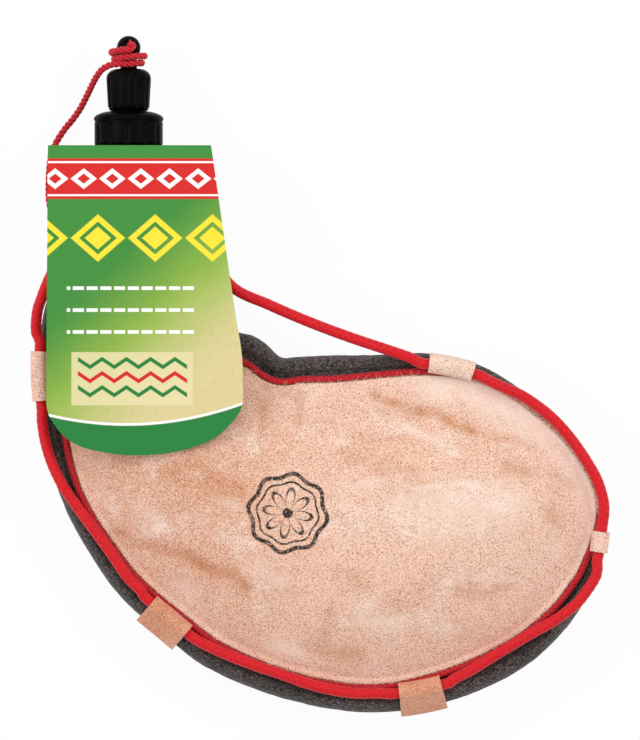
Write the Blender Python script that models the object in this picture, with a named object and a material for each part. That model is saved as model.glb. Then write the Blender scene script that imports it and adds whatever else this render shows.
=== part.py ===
"""A leather bota: two suede panels sewn round a felt edge, a lining bag, a screw spout with a small cap,
a shoulder strap through leather loops, a cap tether and a folded card tag. It lies on its back panel.
X runs to the right, Y towards the spout and Z up from the resting face. Lengths are in metres."""

import math

import bmesh
import bpy
import numpy as np

# Driving sizes of the bag
BAG_WIDTH = 0.2500
BAG_HEIGHT = 0.2500
SEAM_LEVEL = 0.0205
RIM_WIDTH = 0.0140
RIM_BULGE = 0.0065
RIM_LEAST_BULGE = 0.00385
RIM_HALF = 0.0036
RIM_HALF_AT_NECK = 0.0009
RIM_TUCK = 0.0030
LEATHER = 0.0020
FRONT_RISE = 0.0172
BACK_RISE = 0.0172
PILLOW_REACH = 0.0600
SEAM_FLANGE = 0.0025
GAP = 0.0003
PLAY = 0.0002

# Lining bag
LINER_WALL = 0.0010
LINER_INSET = 0.0066
LINER_DROP = 0.0016
LINER_EDGE_ROUND = 0.0080

# Neck of the bag and what it is bound to
NECK_X = -0.3204 * BAG_WIDTH
RIM_END = 0.5200 * BAG_HEIGHT
RIM_THIN_REACH = 0.0220
RIM_THIN_START = RIM_END - RIM_THIN_REACH
NECK_BLEND_REACH = 0.0160
NECK_BLEND_START = RIM_END - NECK_BLEND_REACH
NECK_STEP = 0.0040
NECK_START = RIM_END + NECK_STEP
NECK_LENGTH = 0.0281
NECK_END = NECK_START + NECK_LENGTH
NECK_RADIUS = 0.0131
NECK_SEAM = 0.0006

# Ferrule clamped in the neck
FERRULE_BORE = 0.0075
FERRULE_TAIL_RADIUS = 0.0093
FERRULE_TAIL = 0.0240
FLANGE_RADIUS = 0.0136
FLANGE_THICKNESS = 0.0012
THREAD_RADIUS = 0.0110
THREAD_LENGTH = 0.0123
CARD = 0.00045

# Spout collar, its gasket and its nozzle
COLLAR_RADIUS = 0.0151
COLLAR_BEAD = 0.00025
COLLAR_HEIGHT = 0.0155
COLLAR_CLEARANCE = 0.00035
COLLAR_TOP_RADIUS = 0.0084
COLLAR_EDGE = 0.0005
COLLAR_SKIRT = 0.0111
FLUTE_DEPTH = 0.0005
FLUTES = 12
GASKET_INNER = 0.0078
GASKET_OUTER = 0.0107
GASKET_THICKNESS = 0.0009
NOZZLE_RADIUS = 0.0060
NOZZLE_HEIGHT = 0.0095
NOZZLE_CHAMFER = 0.0007
JET_RADIUS = 0.0010
JET_LENGTH = 0.0028
FUNNEL_RADIUS = 0.0035
FUNNEL_MOUTH = 0.0076

# Small cap, its seal and the ball on top
CAP_RADIUS = 0.0099
CAP_FOOT_RADIUS = 0.0091
CAP_HEIGHT = 0.0185
CAP_EDGE = 0.0014
CAP_SHOULDER = 0.0044
CAP_BORE_CLEARANCE = 0.0004
CAP_FLUTE_DEPTH = 0.0004
SEAL_RADIUS = 0.0058
SEAL_THICKNESS = 0.0012
WAIST_RADIUS = 0.0036
WAIST_HEIGHT = 0.0094
BALL_RADIUS = 0.00525
TURN_STEPS = 36

# Cords: the piping sewn in both seams, the strap and the tether
PIPING = 0.0030
STRAP = 0.0050
TETHER = 0.0031
STRAP_WRAP_PITCH = 0.0055
STRAP_WRAP_TURNS = 2
STRAP_WRAP_STEP = 0.0030
STRAP_WRAP_START = NECK_START + STRAP_WRAP_STEP
TETHER_WRAP_PITCH = 0.0037
TETHER_WRAP_TURNS = 2
TETHER_WRAP_STEP = 0.0186
TETHER_WRAP_START = NECK_START + TETHER_WRAP_STEP
KNOT_PITCH = 0.0036
KNOT_TURNS = 1
KNOT_SPREAD = 0.0008
KNOT_TAIL_LIFT = 0.0022
LOOP_POINTS = 24
STRAP_POINTS = 104
TETHER_POINTS = 26

# Leather loops that hold the strap on the edge
LOOP_LEATHER = 0.0010
LOOP_REST = 0.0006
STRAP_REST = 0.0006
STRAP_SAG = 5.0
LOOP_LEAD = 0.0040
LOOP_TURN_DEGREES = 156.0
LOOP_TURN_STEPS = 6
NARROW_RIM = 0.0090
LOOP_LENGTH = 0.0205
LONG_LOOP_LENGTH = 0.0220
SHORT_LOOP_LENGTH = 0.0090

# Folded card tag
TAG_LENGTH = 0.1366
TAG_WIDTH = 0.0865
TAG_LEVEL = 0.0406
TAG_TIP_RISE = 0.0032
TAG_FLAP_DEPTH = 0.0362
TAG_HOLE_CLEARANCE = 0.0004

# Shape of the felt edge's outer line: across as a share of BAG_WIDTH, up as a share of BAG_HEIGHT,
# and the edge's width there as a share of RIM_WIDTH, from the neck's left side round to its right side
RIM_SHARES = [
    (-0.3848, 0.5200, 0.214),
    (-0.4080, 0.4850, 0.390),
    (-0.4420, 0.4320, 0.660),
    (-0.4690, 0.3750, 0.820),
    (-0.4800, 0.2960, 0.820),
    (-0.4770, 0.2080, 0.820),
    (-0.4630, 0.1110, 0.790),
    (-0.4380, 0.0311, 0.775),
    (-0.4012, -0.0415, 0.840),
    (-0.3407, -0.1308, 0.935),
    (-0.2648, -0.1999, 0.965),
    (-0.1760, -0.2659, 0.985),
    (-0.0419, -0.3183, 0.945),
    (0.1039, -0.3416, 0.940),
    (0.2457, -0.3221, 1.060),
    (0.3719, -0.2659, 1.040),
    (0.4497, -0.1960, 0.885),
    (0.4941, -0.1272, 0.720),
    (0.5090, -0.0704, 0.500),
    (0.5140, -0.0352, 0.360),
    (0.5192, 0.0088, 0.275),
    (0.5139, 0.0563, 0.270),
    (0.4928, 0.1021, 0.285),
    (0.4576, 0.1514, 0.305),
    (0.4101, 0.1971, 0.330),
    (0.3520, 0.2394, 0.370),
    (0.2922, 0.2693, 0.440),
    (0.2112, 0.2869, 0.590),
    (0.1302, 0.2906, 0.730),
    (0.0440, 0.2904, 0.870),
    (-0.0211, 0.2878, 0.850),
    (-0.0510, 0.2869, 0.900),
    (-0.0774, 0.3107, 1.000),
    (-0.1021, 0.3256, 1.000),
    (-0.1373, 0.3362, 1.000),
    (-0.1848, 0.3784, 0.850),
    (-0.2210, 0.4300, 0.600),
    (-0.2440, 0.4820, 0.380),
    (-0.2560, 0.5200, 0.214),
]

# The edge's bulged section: depth as a share of its width, height as a share of its bulge
RIM_SECTION_SHARES = [
    (0.08, 0.50),
    (0.22, 0.85),
    (0.36, 1.00),
    (0.50, 0.88),
]
RIM_FLAT_SHARE = 0.60

# Where the lower side, the round end and the upper side of the outline share the mesh's rows, with the rows
# drawn towards the neck by the crowding, and how far the columns follow a half circle's spacing
SIDE_ROW_COUNT = 24
SIDE_CROWDING = 1.12
LOWER_SIDE_SHARE = 0.585
UPPER_SIDE_SHARE = 0.665
ROUND_SHARE = 0.75
NECK_ROW_COUNT = 4
ACROSS_COUNT = 12
LINER_ROW_COUNT = 14
LINER_CROWDING = 1.2
LINER_NECK_ROW_COUNT = 2
LINER_ACROSS_COUNT = 8

# Tag outlines from one end of the crease to the other: across as a share of TAG_WIDTH, down as a share of
# TAG_LENGTH for the leaf and of TAG_FLAP_DEPTH for the flap
LEAF_SHARES = [
    (-0.398, 0.000),
    (-0.400, 0.150),
    (-0.401, 0.350),
    (-0.403, 0.500),
    (-0.404, 0.700),
    (-0.404, 0.827),
    (-0.388, 0.873),
    (-0.325, 0.928),
    (-0.234, 0.966),
    (-0.113, 0.985),
    (0.030, 0.995),
    (0.205, 0.988),
    (0.366, 0.963),
    (0.472, 0.928),
    (0.568, 0.861),
    (0.588, 0.821),
    (0.588, 0.760),
    (0.582, 0.670),
    (0.552, 0.550),
    (0.525, 0.437),
    (0.475, 0.218),
    (0.426, 0.000),
]
FLAP_SHARES = [
    (-0.398, 0.000),
    (-0.383, 0.220),
    (-0.335, 0.480),
    (-0.258, 0.740),
    (-0.161, 0.930),
    (-0.045, 1.000),
    (0.055, 1.000),
    (0.174, 0.930),
    (0.275, 0.740),
    (0.358, 0.480),
    (0.410, 0.220),
    (0.426, 0.000),
]

# Loops: place along the outline as a share of its length, length, and how much further out the strap lies
# there than beside the piping, as a share of RIM_WIDTH
LOOPS = [
    ("strap_loop_left", 0.1019, LONG_LOOP_LENGTH, 0.371),
    ("strap_loop_lower_left", 0.2818, LOOP_LENGTH, 0.0),
    ("strap_loop_bottom", 0.4589, LOOP_LENGTH, 0.029),
    ("strap_loop_right", 0.6208, SHORT_LOOP_LENGTH, -0.071),
    ("strap_loop_upper_right", 0.7800, LOOP_LENGTH, -0.079),
]

# Route of the strap as it leaves the neck: across from the neck's axis, up from the binding's first turn
# and out from the seam
STRAP_FROM_NECK = [
    (0.0055, 0.0110, 0.0159),
    (0.0093, 0.0110, 0.0159),
    (0.0146, 0.0108, 0.0159),
    (0.0201, 0.0082, 0.0155),
    (0.0246, 0.0025, 0.0147),
    (0.0291, -0.0060, 0.0135),
    (0.0351, -0.0180, 0.0119),
    (0.0458, -0.0343, 0.0095),
]

# Then across the bay to the edge: shares of BAG_WIDTH and BAG_HEIGHT, and out from the seam
STRAP_ACROSS_SHARES = [
    (-0.0704, 0.3780, 0.0077),
    (0.0000, 0.3480, 0.0067),
    (0.0704, 0.3216, 0.0065),
    (0.1420, 0.2976, 0.0078),
]

# Then round the edge, beside the loops: share of the outline's length, and depth inside the outer line as a
# share of RIM_WIDTH
STRAP_ON_EDGE_SHARES = [
    (0.8060, 0.079),
    (0.7535, 0.236),
    (0.7434, 0.193),
    (0.7303, 0.093),
    (0.7147, 0.050),
    (0.7020, 0.057),
    (0.6895, 0.079),
    (0.6746, 0.086),
    (0.6604, 0.071),
    (0.6472, 0.043),
    (0.6390, 0.043),
    (0.6040, 0.014),
    (0.5971, 0.043),
    (0.5813, 0.207),
    (0.5715, 0.350),
    (0.5600, 0.507),
    (0.5480, 0.700),
    (0.5365, 0.821),
    (0.5170, 0.864),
    (0.4976, 0.771),
    (0.4820, 0.679),
    (0.4311, 0.664),
    (0.4146, 0.643),
    (0.3989, 0.657),
    (0.3820, 0.700),
    (0.3652, 0.771),
    (0.3495, 0.757),
    (0.3318, 0.721),
    (0.3140, 0.657),
    (0.2560, 0.650),
    (0.2480, 0.629),
    (0.2400, 0.621),
    (0.2254, 0.629),
    (0.2083, 0.564),
    (0.1910, 0.443),
    (0.1735, 0.257),
    (0.1582, 0.129),
    (0.1437, 0.050),
    (0.1305, 0.036),
    (0.0740, -0.086),
    (0.0627, -0.143),
]

# And back to the neck, as it left
STRAP_TO_NECK = [
    (-0.0378, -0.0393, 0.0097),
    (-0.0344, -0.0310, 0.0109),
    (-0.0297, -0.0225, 0.0123),
    (-0.0239, -0.0140, 0.0137),
    (-0.0187, -0.0065, 0.0150),
    (-0.0145, -0.0014, 0.0158),
    (-0.0094, 0.0000, 0.0159),
    (-0.0055, 0.0000, 0.0159),
]

# Stretch of the tether that the knot carries, from outside the cap's reach to the cap's waist: across from
# the neck's axis, up from the neck's end and up from the resting face
KNOT_LEAD_ROUTE = [
    (-0.01270, 0.03550, 0.02230),
    (-0.01100, 0.03690, 0.02370),
    (-0.00830, 0.03820, 0.02520),
    (-0.00500, 0.03870, 0.02585),
    (-0.00250, 0.03870, 0.02595),
]

# Route of the cap tether from the knot's stretch down beside the tag and back to the neck, measured the same
TETHER_ROUTE = [
    (-0.01300, 0.03515, 0.02195),
    (-0.01420, 0.03360, 0.02040),
    (-0.01580, 0.03110, 0.01800),
    (-0.01850, 0.02620, 0.01350),
    (-0.02200, 0.02010, 0.00900),
    (-0.02530, 0.01570, 0.00600),
    (-0.02950, 0.01080, 0.00360),
    (-0.03340, 0.00470, 0.00220),
    (-0.03560, -0.00150, 0.00180),
    (-0.03640, -0.01250, 0.00180),
    (-0.03620, -0.02110, 0.00180),
    (-0.03450, -0.02650, 0.00180),
    (-0.03090, -0.02850, 0.00180),
    (-0.02640, -0.02630, 0.00190),
    (-0.02240, -0.02060, 0.00230),
    (-0.01770, -0.01410, 0.00320),
    (-0.01240, -0.01030, 0.00460),
    (-0.00740, -0.00950, 0.00550),
    (-0.00350, -0.00950, 0.00555),
]

# Colours
SUEDE = (0.82, 0.56, 0.39)
FELT = (0.075, 0.070, 0.070)
BRIGHT_RED = (0.76, 0.02, 0.03)
CRIMSON = (0.42, 0.02, 0.03)
BLACK_PLASTIC = (0.012, 0.012, 0.012)
LINER_WHITE = (0.75, 0.74, 0.70)
RUBBER = (0.20, 0.05, 0.04)
CARD_GREEN = (0.12, 0.35, 0.08)


def clear_scene():
    for old in list(bpy.data.objects):
        bpy.data.objects.remove(old, do_unlink=True)


def material(name, colour, roughness):
    made = bpy.data.materials.new(name)
    made.use_nodes = True
    shader = made.node_tree.nodes["Principled BSDF"]
    shader.inputs["Base Color"].default_value = (*colour, 1.0)
    shader.inputs["Roughness"].default_value = roughness
    shader.inputs["Metallic"].default_value = 0.0
    return made


def put_in_scene(name, data, look, parent=None):
    thing = bpy.data.objects.new(name, data)
    bpy.context.collection.objects.link(thing)
    data.materials.append(look)
    thing.parent = parent
    return thing


def mesh_piece(name, points, faces, look, parent=None, smooth_angle=40.0):
    mesh = bpy.data.meshes.new(name)
    mesh.from_pydata([tuple(p) for p in points], [], faces)
    shell = bmesh.new()
    shell.from_mesh(mesh)
    bmesh.ops.recalc_face_normals(shell, faces=shell.faces)
    shell.to_mesh(mesh)
    shell.free()
    mesh.shade_smooth()
    mesh.set_sharp_from_angle(angle=math.radians(smooth_angle))
    return put_in_scene(name, mesh, look, parent)


def smooth_step(value, low, high):
    share = np.clip((value - low) / (high - low), 0.0, 1.0)
    return share * share * (3.0 - 2.0 * share)


def smooth_curve(points, per_span):
    """Points of a Catmull-Rom curve through the given points."""
    known = np.array(points, dtype=float)
    before = 2.0 * known[0] - known[1]
    after = 2.0 * known[-1] - known[-2]
    known = np.vstack([before, known, after])
    shares = np.linspace(0.0, 1.0, per_span, endpoint=False)[:, None]
    spans = []
    for a, b, c, d in zip(known, known[1:], known[2:], known[3:]):
        spans.append(
            0.5
            * (
                2.0 * b
                + (c - a) * shares
                + (2.0 * a - 5.0 * b + 4.0 * c - d) * shares**2
                + (3.0 * b - a - 3.0 * c + d) * shares**3
            )
        )
    return np.vstack([*spans, known[-2:-1]])


def even_points(points, count):
    """The given number of points at equal steps along a line of close points."""
    steps = np.linalg.norm(np.diff(points, axis=0), axis=1)
    travelled = np.concatenate([[0.0], np.cumsum(steps)])
    wanted = np.linspace(0.0, travelled[-1], count)
    return np.column_stack([np.interp(wanted, travelled, axis) for axis in points.T])


# The outline and everything that follows it
OUTLINE_SCALE = np.array([BAG_WIDTH, BAG_HEIGHT, RIM_WIDTH])
OUTLINE = smooth_curve(np.array(RIM_SHARES) * OUTLINE_SCALE, 40)
OUTLINE_STEPS = np.linalg.norm(np.diff(OUTLINE[:, :2], axis=0), axis=1)
OUTLINE_TRAVEL = np.concatenate([[0.0], np.cumsum(OUTLINE_STEPS)])
OUTLINE_TRAVEL = OUTLINE_TRAVEL / OUTLINE_TRAVEL[-1]
OUTLINE_TANGENTS = np.gradient(OUTLINE[:, :2], axis=0)
OUTLINE_TANGENTS /= np.linalg.norm(OUTLINE_TANGENTS, axis=1)[:, None]


def along(share):
    """Place, inward direction and edge width at a share of the outline's length."""
    x, y, width = (np.interp(share, OUTLINE_TRAVEL, axis) for axis in OUTLINE.T)
    tx, ty = (np.interp(share, OUTLINE_TRAVEL, axis) for axis in OUTLINE_TANGENTS.T)
    long = math.hypot(tx, ty)
    return np.array([x, y]), np.array([-ty, tx]) / long, width


def inside(share, depth):
    place, inward, _ = along(share)
    return place + inward * depth


def mesh_stations():
    """Shares of the outline where the edge, the piping and the panels have their rows."""
    steps = np.linspace(0.0, 1.0, SIDE_ROW_COUNT + 1) ** SIDE_CROWDING
    lower = steps * LOWER_SIDE_SHARE
    end = LOWER_SIDE_SHARE + (UPPER_SIDE_SHARE - LOWER_SIDE_SHARE) * across_shares(ACROSS_COUNT, 0.0)
    upper = 1.0 - steps[::-1] * (1.0 - UPPER_SIDE_SHARE)
    return lower, end, upper


def across_shares(count, neck_share):
    """Spacing across the bag: even on a half circle at the neck, less crowded at the sides elsewhere."""
    even = np.linspace(0.0, 1.0, count + 1)
    round_spacing = (1.0 - np.cos(math.pi * even)) / 2.0
    mix = ROUND_SHARE + (1.0 - ROUND_SHARE) * neck_share
    return even * (1.0 - mix) + round_spacing * mix


def rim_half(y):
    """Half thickness of the felt under the panels' edges, thinned towards the neck."""
    thin = smooth_step(y, RIM_THIN_START, RIM_END)
    return RIM_HALF + (RIM_HALF_AT_NECK - RIM_HALF) * thin


def rim_bulge(width, y):
    full = np.clip((width / RIM_WIDTH - 0.30) / 0.48, 0.0, 1.0)
    bulge = RIM_LEAST_BULGE + (RIM_BULGE - RIM_LEAST_BULGE) * full
    return bulge * rim_half(y) / RIM_HALF


# Felt edge
def rim_section(width, y, tuck=RIM_TUCK):
    """The edge's section as depth from the outer line and height above the seam."""
    bulge = rim_bulge(width, y)
    half = rim_half(y)
    upper = [(depth * width, height * bulge) for depth, height in RIM_SECTION_SHARES]
    upper += [(RIM_FLAT_SHARE * width, half), (width + tuck, half)]
    lower = [(depth, -height) for depth, height in reversed(upper)]
    return [(0.0, 0.0), *upper, *lower]


def make_rim(look):
    lower, end, upper = mesh_stations()
    points = []
    stations = [*lower, *end[1:-1], *upper]
    for share in stations:
        place, inward, width = along(share)
        tuck = RIM_TUCK * (1.0 - float(smooth_step(place[1], RIM_THIN_START, RIM_END)))
        for k, (depth, _) in enumerate(rim_section(width, place[1], tuck)):
            spot = place + inward * depth
            height = rim_section(width, spot[1])[k][1]
            points.append((spot[0], spot[1], SEAM_LEVEL + height))
    ring = len(rim_section(RIM_WIDTH, 0.0))
    faces = []
    for row in range(len(stations) - 1):
        for k in range(ring):
            a = row * ring + k
            b = row * ring + (k + 1) % ring
            faces.append((a, b, b + ring, a + ring))
    faces.append(tuple(range(ring)))
    last = (len(stations) - 1) * ring
    faces.append(tuple(range(last, last + ring)))
    return mesh_piece("felt_edge", points, faces, look)


# Panels and lining: a patch between the outline's two long sides, the neck and the round end
def neck_rail(side, radius, rows, top):
    """Points down one side of the neck, from its open end to the end of its straight run."""
    heights = np.linspace(top, NECK_START + RIM_TUCK, rows)
    return [np.array([NECK_X + side * radius, y]) for y in heights]


def patch(rows, neck_rows, across, inset, neck_radius, top, crowding):
    """Plan points of the patch. Each row runs across the bag, and crowding draws rows to the neck."""
    steps = np.linspace(0.0, 1.0, rows + 1) ** crowding
    lower = [inside(s, along(s)[2] + inset) for s in steps * LOWER_SIDE_SHARE]
    upper_steps = 1.0 - steps * (1.0 - UPPER_SIDE_SHARE)
    upper = [inside(s, along(s)[2] + inset) for s in upper_steps]
    left = neck_rail(-1.0, neck_radius, neck_rows, top) + lower
    right = neck_rail(1.0, neck_radius, neck_rows, top) + upper
    grid = []
    for row, (a, b) in enumerate(zip(left, right)):
        neck_share = float(smooth_step((a[1] + b[1]) / 2.0, NECK_BLEND_START, NECK_START))
        row_share = max(0.0, (row - neck_rows) / rows)
        shares = across_shares(across, neck_share if row < neck_rows + rows / 2 else 0.0)
        line = []
        for v in shares:
            end_share = LOWER_SIDE_SHARE + (UPPER_SIDE_SHARE - LOWER_SIDE_SHARE) * v
            end_point = inside(end_share, along(end_share)[2] + inset)
            straight_end = left[-1] * (1.0 - v) + right[-1] * v
            line.append(a * (1.0 - v) + b * v + (end_point - straight_end) * row_share**3)
        grid.append(line)
    return np.array(grid)


def edge_line(inset, neck_radius, top):
    """Close points along the sewn edge of a patch, to measure distances from."""
    shares = np.linspace(0.0, 1.0, 500)
    edge = [inside(s, along(s)[2] + inset) for s in shares]
    left = neck_rail(-1.0, neck_radius, 30, top)
    right = neck_rail(1.0, neck_radius, 30, top)
    return np.array(left + edge + right[::-1])


def patch_heights(grid, edge, rise, base, neck_radius):
    """Height of each patch point over the seam, pillowed in the body and a half circle at the neck."""
    flat = grid.reshape(-1, 2)
    gaps = np.linalg.norm(flat[:, None, :] - edge[None, :, :], axis=2).min(axis=1)
    share = np.clip((gaps - SEAM_FLANGE) / PILLOW_REACH, 0.0, 1.0)
    half = rim_half(flat[:, 1] - RIM_TUCK)
    body = half + GAP + base + rise * (1.0 - (1.0 - share) ** 2.2)
    off = np.clip(np.abs(flat[:, 0] - NECK_X) / neck_radius, 0.0, 1.0)
    seam = half * (1.0 - smooth_step(flat[:, 1], RIM_END, NECK_START + RIM_TUCK))
    neck = np.maximum(neck_radius * np.sqrt(1.0 - off**2), NECK_SEAM) + seam
    blend = smooth_step(flat[:, 1], NECK_BLEND_START, NECK_START) ** 2
    return (body * (1.0 - blend) + neck * blend).reshape(grid.shape[:2])


def grid_faces(rows, columns, first=0):
    faces = []
    for i in range(rows - 1):
        for j in range(columns - 1):
            a = first + i * columns + j
            faces.append((a, a + 1, a + columns + 1, a + columns))
    return faces


def make_panel(name, look, side, rise):
    grid = patch(SIDE_ROW_COUNT, NECK_ROW_COUNT, ACROSS_COUNT, 0.0, NECK_RADIUS, NECK_END, SIDE_CROWDING)
    edge = edge_line(0.0, NECK_RADIUS, NECK_END)
    heights = patch_heights(grid, edge, rise, LEATHER, NECK_RADIUS)
    levels = np.maximum(SEAM_LEVEL + side * heights, 0.0)
    points = [(*grid[i, j], levels[i, j]) for i in range(len(grid)) for j in range(ACROSS_COUNT + 1)]
    faces = grid_faces(len(grid), ACROSS_COUNT + 1)
    mesh = bpy.data.meshes.new(name)
    mesh.from_pydata(points, [], faces if side < 0.0 else [f[::-1] for f in faces])
    if mesh.polygons[len(faces) // 2].normal.z * side < 0.0:
        mesh.flip_normals()
    mesh.shade_smooth()
    panel = put_in_scene(name, mesh, look)
    wall = panel.modifiers.new("leather", "SOLIDIFY")
    wall.thickness = LEATHER
    wall.offset = -1.0
    wall.use_even_offset = True
    return panel


def liner_skin(wall, top):
    """Plan points and heights of the lining's outer skin, or of its inner skin a wall further in."""
    radius = NECK_RADIUS - LEATHER - GAP - wall
    inset = LINER_INSET + wall
    rows, neck_rows, across = LINER_ROW_COUNT, LINER_NECK_ROW_COUNT, LINER_ACROSS_COUNT
    grid = patch(rows, neck_rows, across, inset, radius, top, LINER_CROWDING)
    panel_edge = edge_line(0.0, NECK_RADIUS, top)
    heights = patch_heights(grid, panel_edge, FRONT_RISE, 0.0, radius)
    drop = (LINER_DROP + wall) * (1.0 - smooth_step(grid[:, :, 1], RIM_END, NECK_START + RIM_TUCK))
    own_edge = edge_line(inset, radius, top)
    gaps = np.linalg.norm(grid[:, :, None, :] - own_edge[None, None, :, :], axis=3).min(axis=2)
    rounding = np.sqrt(1.0 - (1.0 - np.clip(gaps / LINER_EDGE_ROUND, 0.0, 1.0)) ** 2)
    neck = smooth_step(grid[:, :, 1], NECK_BLEND_START, NECK_START)
    return grid, (heights - drop) * (rounding * (1.0 - neck) + neck)


def make_liner(look):
    """A thin bag, closed along its edge and open at the neck, with an outer and an inner skin."""
    top = NECK_END - GAP
    points, faces, rims = [], [], []
    for wall in (0.0, LINER_WALL):
        grid, heights = liner_skin(wall, top)
        rows, columns = grid.shape[:2]
        floor = LEATHER + LINER_DROP + wall
        index = {}
        for side in (1.0, -1.0):
            for i in range(rows):
                for j in range(columns):
                    seam = j in (0, columns - 1) or i == rows - 1
                    if seam and side < 0.0:
                        index[side, i, j] = index[1.0, i, j]
                        continue
                    level = SEAM_LEVEL + (0.0 if seam else side * heights[i, j])
                    index[side, i, j] = len(points)
                    points.append((*grid[i, j], max(level, floor)))
            for i in range(rows - 1):
                for j in range(columns - 1):
                    corners = [(i, j), (i, j + 1), (i + 1, j + 1), (i + 1, j)]
                    faces.append([index[side, a, b] for a, b in corners])
        mouth = [index[1.0, 0, j] for j in range(columns)]
        mouth += [index[-1.0, 0, j] for j in range(columns - 2, 0, -1)]
        rims.append(mouth)
    outer, inner = rims
    for k in range(len(outer)):
        after = (k + 1) % len(outer)
        faces.append((outer[k], outer[after], inner[after], inner[k]))
    return mesh_piece("lining_bag", points, faces, look)


# Cords
def cord(name, points, diameter, sides_level, look, parent=None):
    curve = bpy.data.curves.new(name, "CURVE")
    curve.dimensions = "3D"
    curve.bevel_depth = diameter / 2.0
    curve.bevel_resolution = sides_level
    curve.use_fill_caps = True
    spline = curve.splines.new("POLY")
    spline.points.add(len(points) - 1)
    for knot, point in zip(spline.points, points):
        knot.co = (*point, 1.0)
    return put_in_scene(name, curve, look, parent)


def piping_points(side):
    lower, end, upper = mesh_stations()
    points = []
    for share in [*lower[1:], *end[1:-1], *upper[:-1]]:
        place, inward, width = along(share)
        spot = place + inward * (width - GAP - PIPING / 2.0)
        height = rim_half(spot[1]) + GAP + PIPING / 2.0
        points.append((spot[0], spot[1], SEAM_LEVEL + side * height))
    return points


def least_gap(points, diameter):
    """Least clear space between a wound cord and itself, measured on points half a turn or more apart."""
    close = np.array(points)
    apart = np.linalg.norm(close[:, None, :] - close[None, :, :], axis=2)
    steps = np.abs(np.arange(len(close))[:, None] - np.arange(len(close))[None, :])
    return apart[steps > LOOP_POINTS // 2].min() - diameter


def winding(start_y, radius, pitch, turns, diameter, clockwise, first_angle, spread=0.0):
    """A helix round the neck's axis that enters and leaves on a straight run of one diameter."""
    count = turns * LOOP_POINTS
    turn = -1.0 if clockwise else 1.0
    points = []
    for k in range(count + 1):
        share = k / count
        angle = first_angle + turn * 2.0 * math.pi * turns * share
        reach = radius + spread * share
        y = start_y + pitch * turns * share
        points.append((NECK_X + reach * math.cos(angle), y, SEAM_LEVEL + reach * math.sin(angle)))
    lead_in = (points[0][0] - diameter, points[0][1], points[0][2])
    lead_out = (points[-1][0] + diameter, points[-1][1], points[-1][2])
    return lead_in, points, lead_out


def make_wraps(strap_look, tether_look):
    top, bottom = math.pi / 2.0, -math.pi / 2.0
    reach = NECK_RADIUS + GAP + STRAP / 2.0
    lead_in, turns, lead_out = winding(
        STRAP_WRAP_START, reach, STRAP_WRAP_PITCH, STRAP_WRAP_TURNS, STRAP, True, top
    )
    print("strap binding clears itself by mm:", round(least_gap(turns, STRAP) * 1000.0, 2))
    cord("strap_neck_binding", [lead_in, *turns, lead_out], STRAP, 1, strap_look)
    reach = NECK_RADIUS + GAP + TETHER / 2.0
    lead_in, turns, lead_out = winding(
        TETHER_WRAP_START, reach, TETHER_WRAP_PITCH, TETHER_WRAP_TURNS, TETHER, False, bottom
    )
    print("tether binding clears itself by mm:", round(least_gap(turns, TETHER) * 1000.0, 2))
    cord("tether_neck_binding", [lead_in, *turns, lead_out], TETHER, 1, tether_look)


def make_knot(look):
    """A turn of the tether round the cap's waist, with the cord's end standing up before the ball."""
    top = math.pi / 2.0
    first_y = NECK_TOP + CAP_TOP + GAP + TETHER / 2.0
    reach = WAIST_RADIUS + GAP + TETHER / 2.0
    _, turns, _ = winding(first_y, reach, KNOT_PITCH, KNOT_TURNS, TETHER, True, top, KNOT_SPREAD)
    last = turns[-1]
    tail = [
        (last[0] + TETHER * 0.45, last[1] + TETHER * 0.25, last[2] + KNOT_TAIL_LIFT * 0.35),
        (last[0] + TETHER * 0.65, last[1] + TETHER * 0.85, last[2] + KNOT_TAIL_LIFT),
        (last[0] + TETHER * 0.30, last[1] + TETHER * 1.45, last[2] + KNOT_TAIL_LIFT * 1.05),
    ]
    print("tether knot clears itself by mm:", round(least_gap(turns, TETHER) * 1000.0, 2))
    lead_in = smooth_curve(KNOT_LEAD_ROUTE + np.array([NECK_X, NECK_END, 0.0]), 2)
    cord("tether_cap_knot", [*lead_in, *turns, *tail], TETHER, 1, look)


# Leather loops over the edge, with the strap inside
def rest_height(depth, width, y):
    """Height over the seam at which the strap's middle rests on the felt, the piping and the panel's edge."""
    half = rim_half(y)
    under = [(d, h, 0.0) for d, h in smooth_curve(rim_section(width, y)[1 : len(RIM_SECTION_SHARES) + 3], 4)]
    under.append((width - GAP - PIPING / 2.0, half + GAP + PIPING / 2.0, PIPING / 2.0))
    under += [(width + step * SEAM_FLANGE, half + GAP + LEATHER, 0.0) for step in (0.0, 0.5, 1.0)]
    heights = []
    for middle, height, radius in under:
        apart = STRAP / 2.0 + radius + STRAP_REST
        if abs(middle - depth) < apart:
            heights.append(height + math.sqrt(apart**2 - (middle - depth) ** 2))
    return max(heights, default=half + GAP + PIPING)


def loop_seat(width, y, outwards):
    """Depth and height of the strap's middle inside a loop, beside the piping or further outwards."""
    reach = STRAP / 2.0 + GAP + PLAY + LOOP_LEATHER / 2.0
    depth = width - GAP - PIPING / 2.0 - reach - outwards * RIM_WIDTH
    return depth, rest_height(depth, width, y)


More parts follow.
